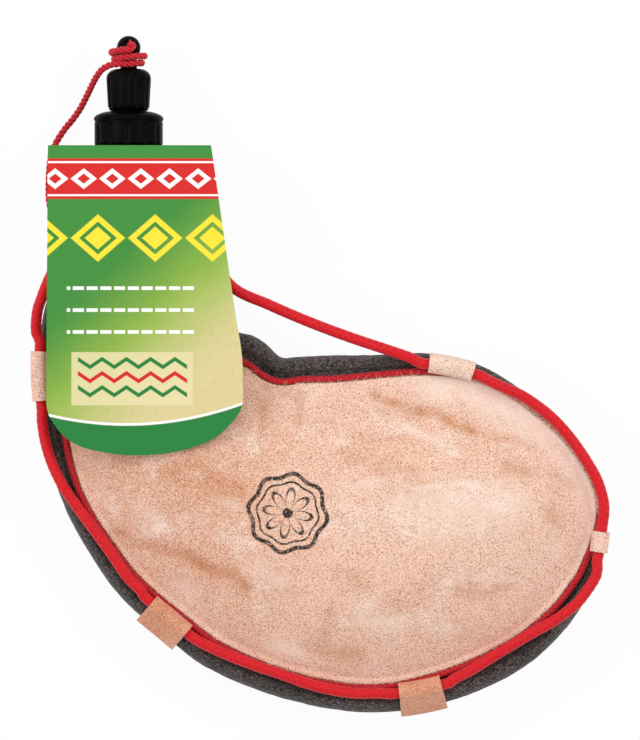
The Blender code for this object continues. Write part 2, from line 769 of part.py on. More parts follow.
def loop_path(width, y, outwards):
    """Middle line of a loop's leather, as depth from the outer line and height above the seam."""
    bulge = rim_bulge(width, y)
    half = rim_half(y)
    rest = GAP + LOOP_REST + LOOP_LEATHER / 2.0
    reach = STRAP / 2.0 + GAP + PLAY + LOOP_LEATHER / 2.0
    piping_depth = width - GAP - PIPING / 2.0
    piping_top = half + GAP + PIPING
    strap_depth, strap_level = loop_seat(width, y, outwards)
    start = max(piping_depth, strap_depth + reach)
    path = [(start, piping_top + GAP + PLAY + LOOP_LEATHER / 2.0)]
    for step in range(1, LOOP_TURN_STEPS + 1):
        angle = math.radians(LOOP_TURN_DEGREES) * step / LOOP_TURN_STEPS
        path.append((strap_depth + reach * math.cos(angle), strap_level + reach * math.sin(angle)))
    path += [
        (min(-rest, strap_depth - reach), 0.30 * strap_level),
        (-rest, -0.20 * bulge),
    ]
    if width > NARROW_RIM:
        clear_shares = [(1.0, 0.5), (0.5, 1.0), (0.0, 1.0), (0.0, 1.0)]
        for (depth, height), (aside, under) in zip(RIM_SECTION_SHARES, clear_shares):
            path.append((depth * width - aside * rest, -height * bulge - under * rest))
        path.append(((RIM_FLAT_SHARE + 0.04) * width, -half - rest))
    else:
        under = piping_top + GAP + PLAY + LOOP_LEATHER / 2.0
        path += [
            (-rest / 2.0, -0.60 * under),
            (0.16 * width, -0.86 * under),
            (0.36 * width, -under),
            (piping_depth, -under),
        ]
    return path


def strap_route():
    """Points of the strap from the neck, across the bay, round the edge through the loops and back. Between
    the loops, which hold it down, it sags a little from one high place to the next."""
    stations = []
    for share, depth_share in STRAP_ON_EDGE_SHARES:
        depth = depth_share * RIM_WIDTH
        place = inside(share, depth)
        stations.append((share, *place, rest_height(depth, along(share)[2], place[1]), 1.0))
    for _, middle, length, outwards in LOOPS:
        for side in (-1.0, -0.5, 0.0, 0.5, 1.0):
            share = middle + side * (length / 2.0 + LOOP_LEAD) / OUTLINE_STEPS.sum()
            depth, height = loop_seat(along(middle)[2], along(share)[0][1], outwards)
            stations.append((share, *inside(share, depth), height, 0.0))
    edge = [station[1:] for station in sorted(stations, reverse=True)]
    neck = np.array([NECK_X, STRAP_WRAP_START, 0.0])
    across = np.array(STRAP_ACROSS_SHARES) * [BAG_WIDTH, BAG_HEIGHT, 1.0]
    first = np.insert(np.vstack([neck + STRAP_FROM_NECK, across]), 3, 1.0, axis=1)
    last = np.insert(neck + STRAP_TO_NECK, 3, 1.0, axis=1)
    route = np.vstack([first, edge, last])
    apart = np.linalg.norm(route[:, None, :2] - route[None, :, :2], axis=2)
    hung = (route[None, :, 2] - STRAP_SAG * apart**2).max(axis=1)
    heights = np.where(route[:, 3] > 0.0, hung, route[:, 2])
    return np.column_stack([route[:, :2], SEAM_LEVEL + heights])


def make_loop(name, share, length, outwards, look):
    _, _, width = along(share)
    total = OUTLINE_STEPS.sum()
    sections = 4
    points = []
    for step in range(sections):
        here = share + (step / (sections - 1) - 0.5) * length / total
        place, inward, _ = along(here)
        path = loop_path(width, place[1], outwards)
        line = np.array(path)
        tangents = np.gradient(line, axis=0)
        tangents /= np.linalg.norm(tangents, axis=1)[:, None]
        normals = np.column_stack([-tangents[:, 1], tangents[:, 0]]) * LOOP_LEATHER / 2.0
        for depth, height in [*(line + normals), *(line - normals)[::-1]]:
            spot = place + inward * depth
            points.append((spot[0], spot[1], SEAM_LEVEL + height))
    ring = 2 * len(path)
    faces = []
    for row in range(sections - 1):
        for k in range(ring):
            a = row * ring + k
            b = row * ring + (k + 1) % ring
            faces.append((a, b, b + ring, a + ring))
    for first, flip in ((0, 1), ((sections - 1) * ring, -1)):
        for k in range(len(path) - 1):
            quad = (first + k, first + k + 1, first + ring - 2 - k, first + ring - 1 - k)
            faces.append(quad[::flip])
    return mesh_piece(name, points, faces, look, smooth_angle=60.0)


# Turned pieces on the neck's axis, drawn as radius and height above the ferrule's flange seat
NECK_TOP = NECK_END + GAP
CARD_SEAT = FLANGE_THICKNESS + GAP
COLLAR_FOOT = CARD_SEAT + CARD + GAP
COLLAR_TOP = COLLAR_FOOT + COLLAR_HEIGHT
FERRULE_TOP = FLANGE_THICKNESS + THREAD_LENGTH
GASKET_SEAT = FERRULE_TOP + GAP
COLLAR_CEILING = GASKET_SEAT + GASKET_THICKNESS + GAP
NOZZLE_TOP = COLLAR_TOP + NOZZLE_HEIGHT
CAP_FOOT = COLLAR_TOP + GAP
CAP_TOP = CAP_FOOT + CAP_HEIGHT
SEAL_SEAT = NOZZLE_TOP + GAP
CAP_CEILING = SEAL_SEAT + SEAL_THICKNESS + GAP
BALL_LEVEL = CAP_TOP + WAIST_HEIGHT


def neck_axis():
    """An empty whose Z axis is the neck's axis, at the seat of the ferrule's flange."""
    axis = bpy.data.objects.new("neck_axis", None)
    bpy.context.collection.objects.link(axis)
    axis.location = (NECK_X, NECK_TOP, SEAM_LEVEL)
    axis.rotation_euler = (-math.pi / 2.0, 0.0, 0.0)
    return axis


def turned(name, profile, look, parent, fluted=(), flute_depth=0.0):
    """A closed profile of radius and height turned round the axis. Points on the axis close it."""
    rings, points = [], []
    for row, (radius, height) in enumerate(profile):
        if radius == 0.0:
            rings.append([len(points)] * TURN_STEPS)
            points.append((0.0, 0.0, height))
            continue
        ring = []
        for step in range(TURN_STEPS):
            angle = 2.0 * math.pi * step / TURN_STEPS
            groove = row in fluted and step % (TURN_STEPS // FLUTES) == 0
            reach = radius - (flute_depth if groove else 0.0)
            ring.append(len(points))
            points.append((reach * math.cos(angle), reach * math.sin(angle), height))
        rings.append(ring)
    faces = []
    closed = profile[0][0] != 0.0
    for row in range(len(rings) if closed else len(rings) - 1):
        a, b = rings[row], rings[(row + 1) % len(rings)]
        for step in range(TURN_STEPS):
            after = (step + 1) % TURN_STEPS
            corners = (a[step], a[after], b[after], b[step])
            faces.append(tuple(dict.fromkeys(corners)))
    return mesh_piece(name, points, faces, look, parent, smooth_angle=35.0)


def make_ferrule(look, axis):
    profile = [
        (FERRULE_BORE, -FERRULE_TAIL),
        (FERRULE_TAIL_RADIUS, -FERRULE_TAIL),
        (FERRULE_TAIL_RADIUS, 0.0),
        (FLANGE_RADIUS, 0.0),
        (FLANGE_RADIUS, FLANGE_THICKNESS),
        (THREAD_RADIUS, FLANGE_THICKNESS),
        (THREAD_RADIUS, FERRULE_TOP),
        (FERRULE_BORE, FERRULE_TOP),
    ]
    return turned("neck_ferrule", profile, look, axis)


def make_gasket(look, axis):
    profile = [
        (GASKET_INNER, GASKET_SEAT),
        (GASKET_OUTER, GASKET_SEAT),
        (GASKET_OUTER, GASKET_SEAT + GASKET_THICKNESS),
        (GASKET_INNER, GASKET_SEAT + GASKET_THICKNESS),
    ]
    return turned("collar_gasket", profile, look, axis)


def make_collar(look, axis):
    bore = THREAD_RADIUS + COLLAR_CLEARANCE
    bead = COLLAR_RADIUS + COLLAR_BEAD
    skirt = COLLAR_FOOT + COLLAR_SKIRT
    dome = COLLAR_TOP - skirt
    profile = [
        (bore, COLLAR_FOOT),
        (COLLAR_RADIUS - COLLAR_EDGE, COLLAR_FOOT),
        (COLLAR_RADIUS, COLLAR_FOOT + COLLAR_EDGE),
        (COLLAR_RADIUS, skirt),
        (bead, skirt + 0.12 * dome),
        (bead, skirt + 0.32 * dome),
        (0.96 * bead, skirt + 0.54 * dome),
        (0.83 * bead, skirt + 0.79 * dome),
        (0.68 * bead, skirt + 0.93 * dome),
        (COLLAR_TOP_RADIUS, COLLAR_TOP),
        (NOZZLE_RADIUS, COLLAR_TOP),
        (NOZZLE_RADIUS, NOZZLE_TOP - NOZZLE_CHAMFER),
        (NOZZLE_RADIUS - NOZZLE_CHAMFER, NOZZLE_TOP),
        (JET_RADIUS, NOZZLE_TOP),
        (JET_RADIUS, NOZZLE_TOP - JET_LENGTH),
        (FUNNEL_RADIUS, COLLAR_TOP),
        (FUNNEL_MOUTH, COLLAR_CEILING),
        (bore, COLLAR_CEILING),
    ]
    return turned("spout_collar", profile, look, axis, (1, 2, 3), FLUTE_DEPTH)


def make_seal(look, axis):
    profile = [
        (0.0, SEAL_SEAT),
        (SEAL_RADIUS, SEAL_SEAT),
        (SEAL_RADIUS, SEAL_SEAT + SEAL_THICKNESS),
        (0.0, SEAL_SEAT + SEAL_THICKNESS),
    ]
    return turned("cap_seal", profile, look, axis)


def make_cap(look, axis):
    bore = NOZZLE_RADIUS + CAP_BORE_CLEARANCE
    ball_foot = math.asin(WAIST_RADIUS / BALL_RADIUS)
    shoulder = CAP_TOP - CAP_SHOULDER
    ball = []
    for step in range(8):
        angle = ball_foot + (math.pi - ball_foot) * step / 7
        ball.append((BALL_RADIUS * math.sin(angle), BALL_LEVEL - BALL_RADIUS * math.cos(angle)))
    ball[-1] = (0.0, ball[-1][1])
    profile = [
        (0.0, CAP_CEILING),
        (bore, CAP_CEILING),
        (bore, CAP_FOOT),
        (CAP_FOOT_RADIUS - CAP_EDGE, CAP_FOOT),
        (CAP_FOOT_RADIUS, CAP_FOOT + CAP_EDGE),
        (CAP_RADIUS, shoulder),
        (0.97 * CAP_RADIUS, shoulder + 0.38 * CAP_SHOULDER),
        (0.82 * CAP_RADIUS, shoulder + 0.78 * CAP_SHOULDER),
        (0.60 * CAP_RADIUS, CAP_TOP),
        (WAIST_RADIUS, CAP_TOP),
        *ball,
    ]
    return turned("small_cap", profile, look, axis, (3, 4, 5), CAP_FLUTE_DEPTH)


# Card tag: a flap with a hole for the neck and a leaf that hangs from the crease
def plate(name, outline, hole, thickness, look, smooth_angle=30.0):
    """A flat plate from an outline, with a round hole if one is given, thickened along its normal."""
    shell = bmesh.new()
    edges = []
    for line in [outline] + ([hole] if hole else []):
        corners = [shell.verts.new(p) for p in line]
        for k, corner in enumerate(corners):
            edges.append(shell.edges.new((corner, corners[(k + 1) % len(corners)])))
    bmesh.ops.triangle_fill(shell, edges=edges, use_beauty=True)
    bmesh.ops.recalc_face_normals(shell, faces=shell.faces)
    mesh = bpy.data.meshes.new(name)
    shell.to_mesh(mesh)
    shell.free()
    if mesh.polygons[0].normal.z < -0.5 or mesh.polygons[0].normal.y < -0.5:
        mesh.flip_normals()
    thing = put_in_scene(name, mesh, look)
    wall = thing.modifiers.new("card", "SOLIDIFY")
    wall.thickness = thickness
    wall.offset = 1.0
    return thing


def make_tag(look):
    hole_radius = THREAD_RADIUS + TAG_HOLE_CLEARANCE
    flap_y = NECK_TOP + CARD_SEAT
    flap_top = TAG_LEVEL - GAP
    flap = [(NECK_X + x * TAG_WIDTH, 0.0, -down * TAG_FLAP_DEPTH) for x, down in FLAP_SHARES]
    hole = []
    for step in range(TURN_STEPS):
        angle = -2.0 * math.pi * step / TURN_STEPS
        x = NECK_X + hole_radius * math.cos(angle)
        hole.append((x, 0.0, SEAM_LEVEL - flap_top + hole_radius * math.sin(angle)))
    piece = plate("tag_flap", flap, hole, CARD, look)
    piece.location = (0.0, flap_y, flap_top)
    leaf_top = flap_y + CARD
    leaf = [(NECK_X + x * TAG_WIDTH, -down * TAG_LENGTH, 0.0) for x, down in LEAF_SHARES]
    piece = plate("tag_leaf", leaf, None, CARD, look)
    piece.location = (0.0, leaf_top, TAG_LEVEL)
    piece.rotation_euler = (-math.atan2(TAG_TIP_RISE, TAG_LENGTH), 0.0, 0.0)


def main():
    clear_scene()
    suede = material("suede leather", SUEDE, 0.9)
    felt = material("felt", FELT, 0.95)
    strap_red = material("braided strap", BRIGHT_RED, 0.6)
    crimson = material("crimson cord", CRIMSON, 0.7)
    black = material("black plastic", BLACK_PLASTIC, 0.25)
    white = material("lining plastic", LINER_WHITE, 0.5)
    rubber = material("seal rubber", RUBBER, 0.7)
    card = material("tag card", CARD_GREEN, 0.6)

    make_panel("front_panel", suede, 1.0, FRONT_RISE)
    make_panel("back_panel", suede, -1.0, BACK_RISE)
    make_rim(felt)
    make_liner(white)
    cord("front_piping", piping_points(1.0), PIPING, 2, crimson)
    cord("back_piping", piping_points(-1.0), PIPING, 2, crimson)
    for name, share, length, outwards in LOOPS:
        make_loop(name, share, length, outwards, suede)

    strap = even_points(smooth_curve(strap_route(), 12), STRAP_POINTS)
    cord("shoulder_strap", strap, STRAP, 2, strap_red)
    tether = smooth_curve(TETHER_ROUTE + np.array([NECK_X, NECK_END, 0.0]), 12)
    tether = even_points(tether, TETHER_POINTS)
    cord("cap_tether", tether, TETHER, 2, crimson)
    make_wraps(strap_red, crimson)
    make_knot(crimson)

    axis = neck_axis()
    make_ferrule(black, axis)
    make_gasket(rubber, axis)
    make_collar(black, axis)
    make_seal(rubber, axis)
    make_cap(black, axis)
    make_tag(card)


main()
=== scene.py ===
"""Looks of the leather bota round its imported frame: suede, felt, braided and twisted cords, black screw spout
and a printed card tag. Lengths are in metres, in the frame of the CAD model."""

import math

import bmesh
import bpy
import numpy as np
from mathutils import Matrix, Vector


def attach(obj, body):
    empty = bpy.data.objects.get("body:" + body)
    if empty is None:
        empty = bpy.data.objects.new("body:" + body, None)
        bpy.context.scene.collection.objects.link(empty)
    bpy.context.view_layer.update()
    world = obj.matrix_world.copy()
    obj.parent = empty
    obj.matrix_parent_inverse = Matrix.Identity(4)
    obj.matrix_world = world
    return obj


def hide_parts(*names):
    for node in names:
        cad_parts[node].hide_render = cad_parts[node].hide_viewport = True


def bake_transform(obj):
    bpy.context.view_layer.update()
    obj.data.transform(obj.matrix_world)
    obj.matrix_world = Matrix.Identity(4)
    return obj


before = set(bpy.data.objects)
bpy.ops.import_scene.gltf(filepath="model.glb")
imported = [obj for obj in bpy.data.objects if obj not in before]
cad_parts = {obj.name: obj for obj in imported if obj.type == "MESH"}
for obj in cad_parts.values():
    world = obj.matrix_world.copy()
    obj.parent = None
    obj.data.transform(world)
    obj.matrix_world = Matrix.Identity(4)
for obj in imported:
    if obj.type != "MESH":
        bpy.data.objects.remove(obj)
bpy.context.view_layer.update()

# Camera over the bag, at the photograph's framing
VIEW_CENTRE = (0.0044, 0.0660)
VIEW_HEIGHT = 0.3256
CAMERA_HEIGHT = 2.0
FOCUS_LEVEL = 0.028
SENSOR = 36.0

# Sizes of the bag, as in its CAD source
BAG_WIDTH = 0.2500
BAG_HEIGHT = 0.2500
SEAM_LEVEL = 0.0205
RIM_WIDTH = 0.0140
RIM_BULGE = 0.0065
RIM_LEAST_BULGE = 0.00385
RIM_HALF = 0.0036
RIM_HALF_AT_NECK = 0.0009
RIM_TUCK = 0.0030
LEATHER = 0.0020
PANEL_RISE = 0.0172
PILLOW_REACH = 0.0600
SEAM_FLANGE = 0.0025
GAP = 0.0003
PLAY = 0.0002
NECK_X = -0.0801
NECK_END = 0.1621
NECK_RADIUS = 0.0131
NECK_START = 0.1340
NECK_BLEND_START = 0.1140
NECK_SEAM = 0.0006
RIM_THIN_START = 0.1080
RIM_END = 0.1300
LOOP_LEATHER = 0.0010
LOOP_REST = 0.0006
STRAP_REST = 0.0006
STRAP_SAG = 5.0
LOOP_LEAD = 0.0040
LOOP_TURN_DEGREES = 156.0
NARROW_RIM = 0.0090
PIPING = 0.0030
STRAP = 0.0050
TETHER = 0.0031
STRAP_WRAP_START = 0.1370
STRAP_WRAP_PITCH = 0.0055
TETHER_WRAP_START = 0.1526
TETHER_WRAP_PITCH = 0.0037
WAIST_RADIUS = 0.0036
KNOT_START = NECK_END + GAP + 0.03655 + GAP + TETHER / 2.0
KNOT_PITCH = 0.0031
KNOT_TURNS = 2
KNOT_SPREAD = 0.0024
KNOT_TAIL = [(0.0017, 0.0004, 0.0001), (0.0020, 0.0018, 0.0002), (0.0002, 0.0030, 0.0002)]
TETHER_LOW_POINT = (-0.1163, 0.1410, 0.0018)

# Spout collar, cap and ball, as heights over the neck's end
COLLAR_FOOT = 0.00225
FERRULE_BORE = 0.0075
FERRULE_TAIL_RADIUS = 0.0093
FERRULE_TAIL = 0.0240
FLANGE_RADIUS = 0.0136
FLANGE_THICKNESS = 0.0012
FERRULE_RADIUS = 0.0110
FERRULE_TOP = 0.0135
COLLAR_TOP = 0.01775
COLLAR_CEILING = 0.0150
COLLAR_BORE = 0.01135
COLLAR_RADIUS = 0.0151
COLLAR_BEAD = 0.00025
COLLAR_SKIRT = 0.0111
COLLAR_TOP_RADIUS = 0.0084
COLLAR_FLUTE = 0.00065
NOZZLE_RADIUS = 0.0060
NOZZLE_HEIGHT = 0.0095

# Threads of the ferrule and of the nozzle: advance in one turn and depth of the groove
FERRULE_PITCH = 0.0024
FERRULE_THREAD = 0.0006
NOZZLE_PITCH = 0.0020
NOZZLE_THREAD = 0.0004
THREAD_RUNOUT = 0.0009
CAP_FOOT = 0.01805
CAP_TOP = 0.03655
CAP_CEILING = 0.02905
CAP_BORE = 0.0064
CAP_RADIUS = 0.0099
CAP_FOOT_RADIUS = 0.0091
CAP_SHOULDER = 0.0044
CAP_FLUTE = 0.00050
BALL_LEVEL = 0.04595
BALL_RADIUS = 0.00525
FLUTE_STEPS = 16
FLUTE_WIDTH = 0.42

# Card tag
CARD = 0.00045
TAG_LENGTH = 0.1366
TAG_WIDTH = 0.0865
TAG_LEVEL = 0.0406
TAG_TIP_RISE = 0.0032
TAG_FLAP_DEPTH = 0.0362
TAG_FLAP_Y = 0.1639
TAG_HOLE = 0.0114
CREASE_RADIUS = 0.0009
CREASE_STRIP = 0.0009
CARD_BOW = 0.0006
CARD_CURL = 0.0008
LEAF_ROWS = 70
LEAF_COLUMNS = 40
LEAF_LEFT = [(-0.398, 0.0), (-0.400, 0.15), (-0.401, 0.35), (-0.403, 0.50), (-0.404, 0.70), (-0.404, 0.827),
             (-0.388, 0.873)]
LEAF_RIGHT = [(0.426, 0.0), (0.475, 0.218), (0.525, 0.437), (0.552, 0.55), (0.582, 0.67), (0.588, 0.76),
              (0.588, 0.821)]
LEAF_LOW = [(-0.388, 0.873), (-0.325, 0.928), (-0.234, 0.966), (-0.113, 0.985), (0.030, 0.995), (0.205, 0.988),
            (0.366, 0.963), (0.472, 0.928), (0.568, 0.861), (0.588, 0.821)]
FLAP_SHARES = [(-0.398, 0.0), (-0.383, 0.22), (-0.335, 0.48), (-0.258, 0.74), (-0.161, 0.93), (-0.045, 1.0),
               (0.055, 1.0), (0.174, 0.93), (0.275, 0.74), (0.358, 0.48), (0.410, 0.22), (0.426, 0.0)]

# Stamp on the suede
STAMP_CENTRE = (-0.0097, 0.0035)
STAMP_TURN = 10.0
STAMP_RADIUS = 0.0165

# Strokes on the front panel: two ends, half width and strength. The first are creases, which sink and carry
# painted shade, the second are painted highlights on the nap
SHADE_STROKES = [
    (0.0295, 0.0559, 0.0572, 0.0453, 0.0028, 0.85),
    (0.0572, 0.0453, 0.0717, 0.0396, 0.0028, 1.00),
    (0.0717, 0.0396, 0.0981, 0.0321, 0.0022, 0.50),
    (-0.0849, -0.0057, -0.0537, -0.0141, 0.0030, 0.60),
    (-0.0537, -0.0141, -0.0396, -0.0220, 0.0032, 0.90),
    (-0.0396, -0.0220, -0.0277, -0.0295, 0.0030, 0.80),
    (-0.0189, 0.0559, -0.0207, 0.0383, 0.0026, 0.55),
    (-0.0044, 0.0559, -0.0044, 0.0440, 0.0022, 0.45),
    (0.0075, -0.0383, 0.0057, -0.0528, 0.0026, 0.65),
    (0.0000, -0.0550, 0.0189, -0.0600, 0.0042, 0.60),
    (-0.0559, 0.0233, -0.0308, 0.0119, 0.0070, 0.55),
    (0.0132, -0.0233, 0.0251, -0.0295, 0.0030, 0.45),
    (0.0660, -0.0308, 0.0867, -0.0308, 0.0032, 0.55),
    (0.0867, 0.0220, 0.0955, 0.0220, 0.0032, 0.55),
    (0.1069, 0.0207, 0.1175, 0.0145, 0.0030, 0.45),
    (0.1060, 0.0031, 0.1078, 0.0031, 0.0038, 0.55),
    (0.0295, 0.0229, 0.0453, 0.0229, 0.0028, 0.45),
]
PAINTED_HIGHLIGHT_STROKES = [
    (0.0470, 0.0057, 0.0850, 0.0057, 0.0115, 0.55),
    (0.0453, 0.0145, 0.0805, 0.0163, 0.0017, 0.95),
    (0.0515, 0.0636, 0.0850, 0.0526, 0.0080, 1.00),
    (0.0850, 0.0526, 0.1098, 0.0372, 0.0080, 1.00),
    (0.1098, 0.0372, 0.1252, 0.0142, 0.0075, 1.00),
    (0.1252, 0.0142, 0.1252, -0.0130, 0.0055, 0.90),
    (0.0409, 0.0405, 0.0629, 0.0308, 0.0018, 0.95),
    (0.0119, 0.0145, 0.0308, 0.0167, 0.0022, 0.60),
    (-0.0220, -0.0207, -0.0132, -0.0264, 0.0042, 0.50),
    (-0.0163, -0.0541, -0.0044, -0.0585, 0.0042, 0.60),
    (-0.0735, 0.0057, -0.0660, -0.0031, 0.0048, 0.42),
    (-0.0370, 0.0100, -0.0310, 0.0080, 0.0030, 0.45),
    (0.0220, -0.0440, 0.0383, -0.0471, 0.0042, 0.50),
    (-0.0560, -0.0321, -0.0520, -0.0321, 0.0052, 0.36),
]
WARM_LEFT = (0.0200, -0.0700)
WARM_LOW = (-0.0150, -0.0700)
WARM_LOW_SHARE = 0.45

# Fineness and depth of the forms that stand in for cloth, leather and cord
PANEL_ROWS = 180
PATCH_CROWDING = 1.12
PANEL_NECK_ROWS = 20
PANEL_ACROSS = 110
CREASE_DEPTH = 0.0007
HOLLOW_DEPTH = 0.0005
PUCKER_DEPTH = 0.00035
PLEAT_DEPTH = 0.0007
EDGE_RAGGED = 0.00045
FELT_LUMPS = 0.00035
FELT_SPAN = 4
LOOP_RING = 70
BRAID_STRANDS = 4
BRAID_PITCH = 0.0120
BRAID_DEPTH = 0.00026
TWIST_PITCH = 0.0072
TWIST_STRAND_SHARE = 0.56

# Fibres along the suede's cut edge: side of the bag, count, stretch of the outline as two shares of its length,
# how much longer and thicker than single fibres, as fibres that cling together in tufts are, and their rise
FRINGE = [
    (1.0, 2600, 0.006, 0.994, 1.0, 1.0, 0.2),
    (1.0, 800, 0.640, 0.775, 1.0, 1.6, 1.6),
    (1.0, 420, 0.640, 0.775, 1.1, 3.0, 2.0),
    (1.0, 170, 0.795, 0.900, 1.2, 2.6, 0.5),
    (1.0, 260, 0.300, 0.580, 0.8, 2.4, 0.4),
    (-1.0, 1200, 0.006, 0.994, 1.0, 1.0, 0.2),
]

# How far the felt bulges past its outline beside the upper right loop, and its stretch of the outline's length
FELT_SWELL = 0.0016
FELT_SWELL_STRETCH = [(0.700, 0.0), (0.735, 0.6), (0.765, 1.0), (0.800, 1.0), (0.830, 0.0)]

# Floor, world and lamps
FLOOR_LEVEL = -0.0008
FLOOR_WIDTH = 3.0
FLOOR_GLOW = 0.94
WORLD_STRENGTH = 0.64
LAMP_TARGET = (0.0, 0.06, 0.02)
LAMPS = [
    ("left lamp", (-0.9, 0.35, 0.9), 0.8, 0.8, 4.8),
    ("right lamp", (0.9, 0.25, 0.9), 0.8, 0.8, 3.6),
    ("top lamp", (0.0, 0.8, 1.3), 0.9, 0.9, 3.8),
]

# Outline of the felt edge: across as a share of BAG_WIDTH, up as a share of BAG_HEIGHT, and the edge's width
# there as a share of RIM_WIDTH, from the neck's left side round to its right side
RIM_SHARES = [
    (-0.3848, 0.5200, 0.214),
    (-0.4080, 0.4850, 0.390),
    (-0.4420, 0.4320, 0.660),
    (-0.4690, 0.3750, 0.820),
    (-0.4800, 0.2960, 0.820),
    (-0.4770, 0.2080, 0.820),
    (-0.4630, 0.1110, 0.790),
    (-0.4380, 0.0311, 0.775),
    (-0.4012, -0.0415, 0.840),
    (-0.3407, -0.1308, 0.935),
    (-0.2648, -0.1999, 0.965),
    (-0.1760, -0.2659, 0.985),
    (-0.0419, -0.3183, 0.945),
    (0.1039, -0.3416, 0.940),
    (0.2457, -0.3221, 1.060),
    (0.3719, -0.2659, 1.040),
    (0.4497, -0.1960, 0.885),
    (0.4941, -0.1272, 0.720),
    (0.5090, -0.0704, 0.500),
    (0.5140, -0.0352, 0.360),
    (0.5192, 0.0088, 0.275),
    (0.5139, 0.0563, 0.270),
    (0.4928, 0.1021, 0.285),
    (0.4576, 0.1514, 0.305),
    (0.4101, 0.1971, 0.330),
    (0.3520, 0.2394, 0.370),
    (0.2922, 0.2693, 0.440),
    (0.2112, 0.2869, 0.590),
    (0.1302, 0.2906, 0.730),
    (0.0440, 0.2904, 0.870),
    (-0.0211, 0.2878, 0.850),
    (-0.0510, 0.2869, 0.900),
    (-0.0774, 0.3107, 1.000),
    (-0.1021, 0.3256, 1.000),
    (-0.1373, 0.3362, 1.000),
    (-0.1848, 0.3784, 0.850),
    (-0.2210, 0.4300, 0.600),
    (-0.2440, 0.4820, 0.380),
    (-0.2560, 0.5200, 0.214),
]
RIM_SECTION_SHARES = [(0.08, 0.50), (0.22, 0.85), (0.36, 1.00), (0.50, 0.88)]
RIM_FLAT_SHARE = 0.60
LOWER_SIDE_SHARE = 0.585
UPPER_SIDE_SHARE = 0.665

# Loops: place along the outline as a share of its length, length, and how much further out the strap lies
# there than beside the piping, as a share of RIM_WIDTH
LOOPS = [
    ("strap_loop_left", 0.1019, 0.0220, 0.371),
    ("strap_loop_lower_left", 0.2818, 0.0205, 0.0),
    ("strap_loop_bottom", 0.4589, 0.0205, 0.029),
    ("strap_loop_right", 0.6208, 0.0090, -0.071),
    ("strap_loop_upper_right", 0.7800, 0.0205, -0.079),
]

# Routes of the strap, of the tether's stretch on the knot and of the tether, as in the CAD source. The strap
# leaves the neck and comes back to it by places measured from the neck, crosses the bay by shares of the
# bag's sizes, and follows the edge by shares of the outline's length and of RIM_WIDTH
STRAP_FROM_NECK = [
    (0.0055, 0.0110, 0.0159),
    (0.0093, 0.0110, 0.0159),
    (0.0146, 0.0108, 0.0159),
    (0.0201, 0.0082, 0.0155),
    (0.0246, 0.0025, 0.0147),
    (0.0291, -0.0060, 0.0135),
    (0.0351, -0.0180, 0.0119),
    (0.0458, -0.0343, 0.0095),
]
STRAP_ACROSS_SHARES = [
    (-0.0704, 0.3780, 0.0077),
    (0.0000, 0.3480, 0.0067),
    (0.0704, 0.3216, 0.0065),
    (0.1420, 0.2976, 0.0078),
]
STRAP_ON_EDGE_SHARES = [
    (0.8060, 0.079),
    (0.7535, 0.236),
    (0.7434, 0.193),
    (0.7303, 0.093),
    (0.7147, 0.050),
    (0.7020, 0.057),
    (0.6895, 0.079),
    (0.6746, 0.086),
    (0.6604, 0.071),
    (0.6472, 0.043),
    (0.6390, 0.043),
    (0.6040, 0.014),
    (0.5971, 0.043),
    (0.5813, 0.207),
    (0.5715, 0.350),
    (0.5600, 0.507),
    (0.5480, 0.700),
    (0.5365, 0.821),
    (0.5170, 0.864),
    (0.4976, 0.771),
    (0.4820, 0.679),
    (0.4311, 0.664),
    (0.4146, 0.643),
    (0.3989, 0.657),
    (0.3820, 0.700),
    (0.3652, 0.771),
    (0.3495, 0.757),
    (0.3318, 0.721),
    (0.3140, 0.657),
    (0.2560, 0.650),
    (0.2480, 0.629),
    (0.2400, 0.621),
    (0.2254, 0.629),
    (0.2083, 0.564),
    (0.1910, 0.443),
    (0.1735, 0.257),
    (0.1582, 0.129),
    (0.1437, 0.050),
    (0.1305, 0.036),
    (0.0740, -0.086),
    (0.0627, -0.143),
]
STRAP_TO_NECK = [
    (-0.0378, -0.0393, 0.0097),
    (-0.0344, -0.0310, 0.0109),
    (-0.0297, -0.0225, 0.0123),
    (-0.0239, -0.0140, 0.0137),
    (-0.0187, -0.0065, 0.0150),
    (-0.0145, -0.0014, 0.0158),
    (-0.0094, 0.0000, 0.0159),
    (-0.0055, 0.0000, 0.0159),
]
KNOT_LEAD_ROUTE = [
    (-0.0928, 0.1976, 0.0223),
    (-0.0911, 0.1990, 0.0237),
    (-0.0884, 0.2003, 0.0252),
    (-0.0851, 0.2008, 0.02585),
    (-0.0826, 0.2008, 0.02595),
]
TETHER_ROUTE = [
    (-0.0931, 0.19725, 0.02195),
    (-0.0943, 0.1957, 0.0204),
    (-0.0959, 0.1932, 0.0180),
    (-0.0986, 0.1883, 0.0135),
    (-0.1021, 0.1822, 0.0090),
    (-0.1054, 0.1778, 0.0060),
    (-0.1096, 0.1729, 0.0036),
    (-0.1135, 0.1668, 0.0022),
    (-0.1157, 0.1606, 0.0018),
    (-0.1165, 0.1496, 0.0018),
    (-0.1163, 0.1410, 0.0018),
    (-0.1146, 0.1356, 0.0018),
    (-0.1110, 0.1336, 0.0018),
    (-0.1065, 0.1358, 0.0019),
    (-0.1025, 0.1415, 0.0023),
    (-0.0978, 0.1480, 0.0032),
    (-0.0925, 0.1518, 0.0046),
    (-0.0875, 0.1526, 0.0055),
    (-0.0836, 0.1526, 0.00555),
]

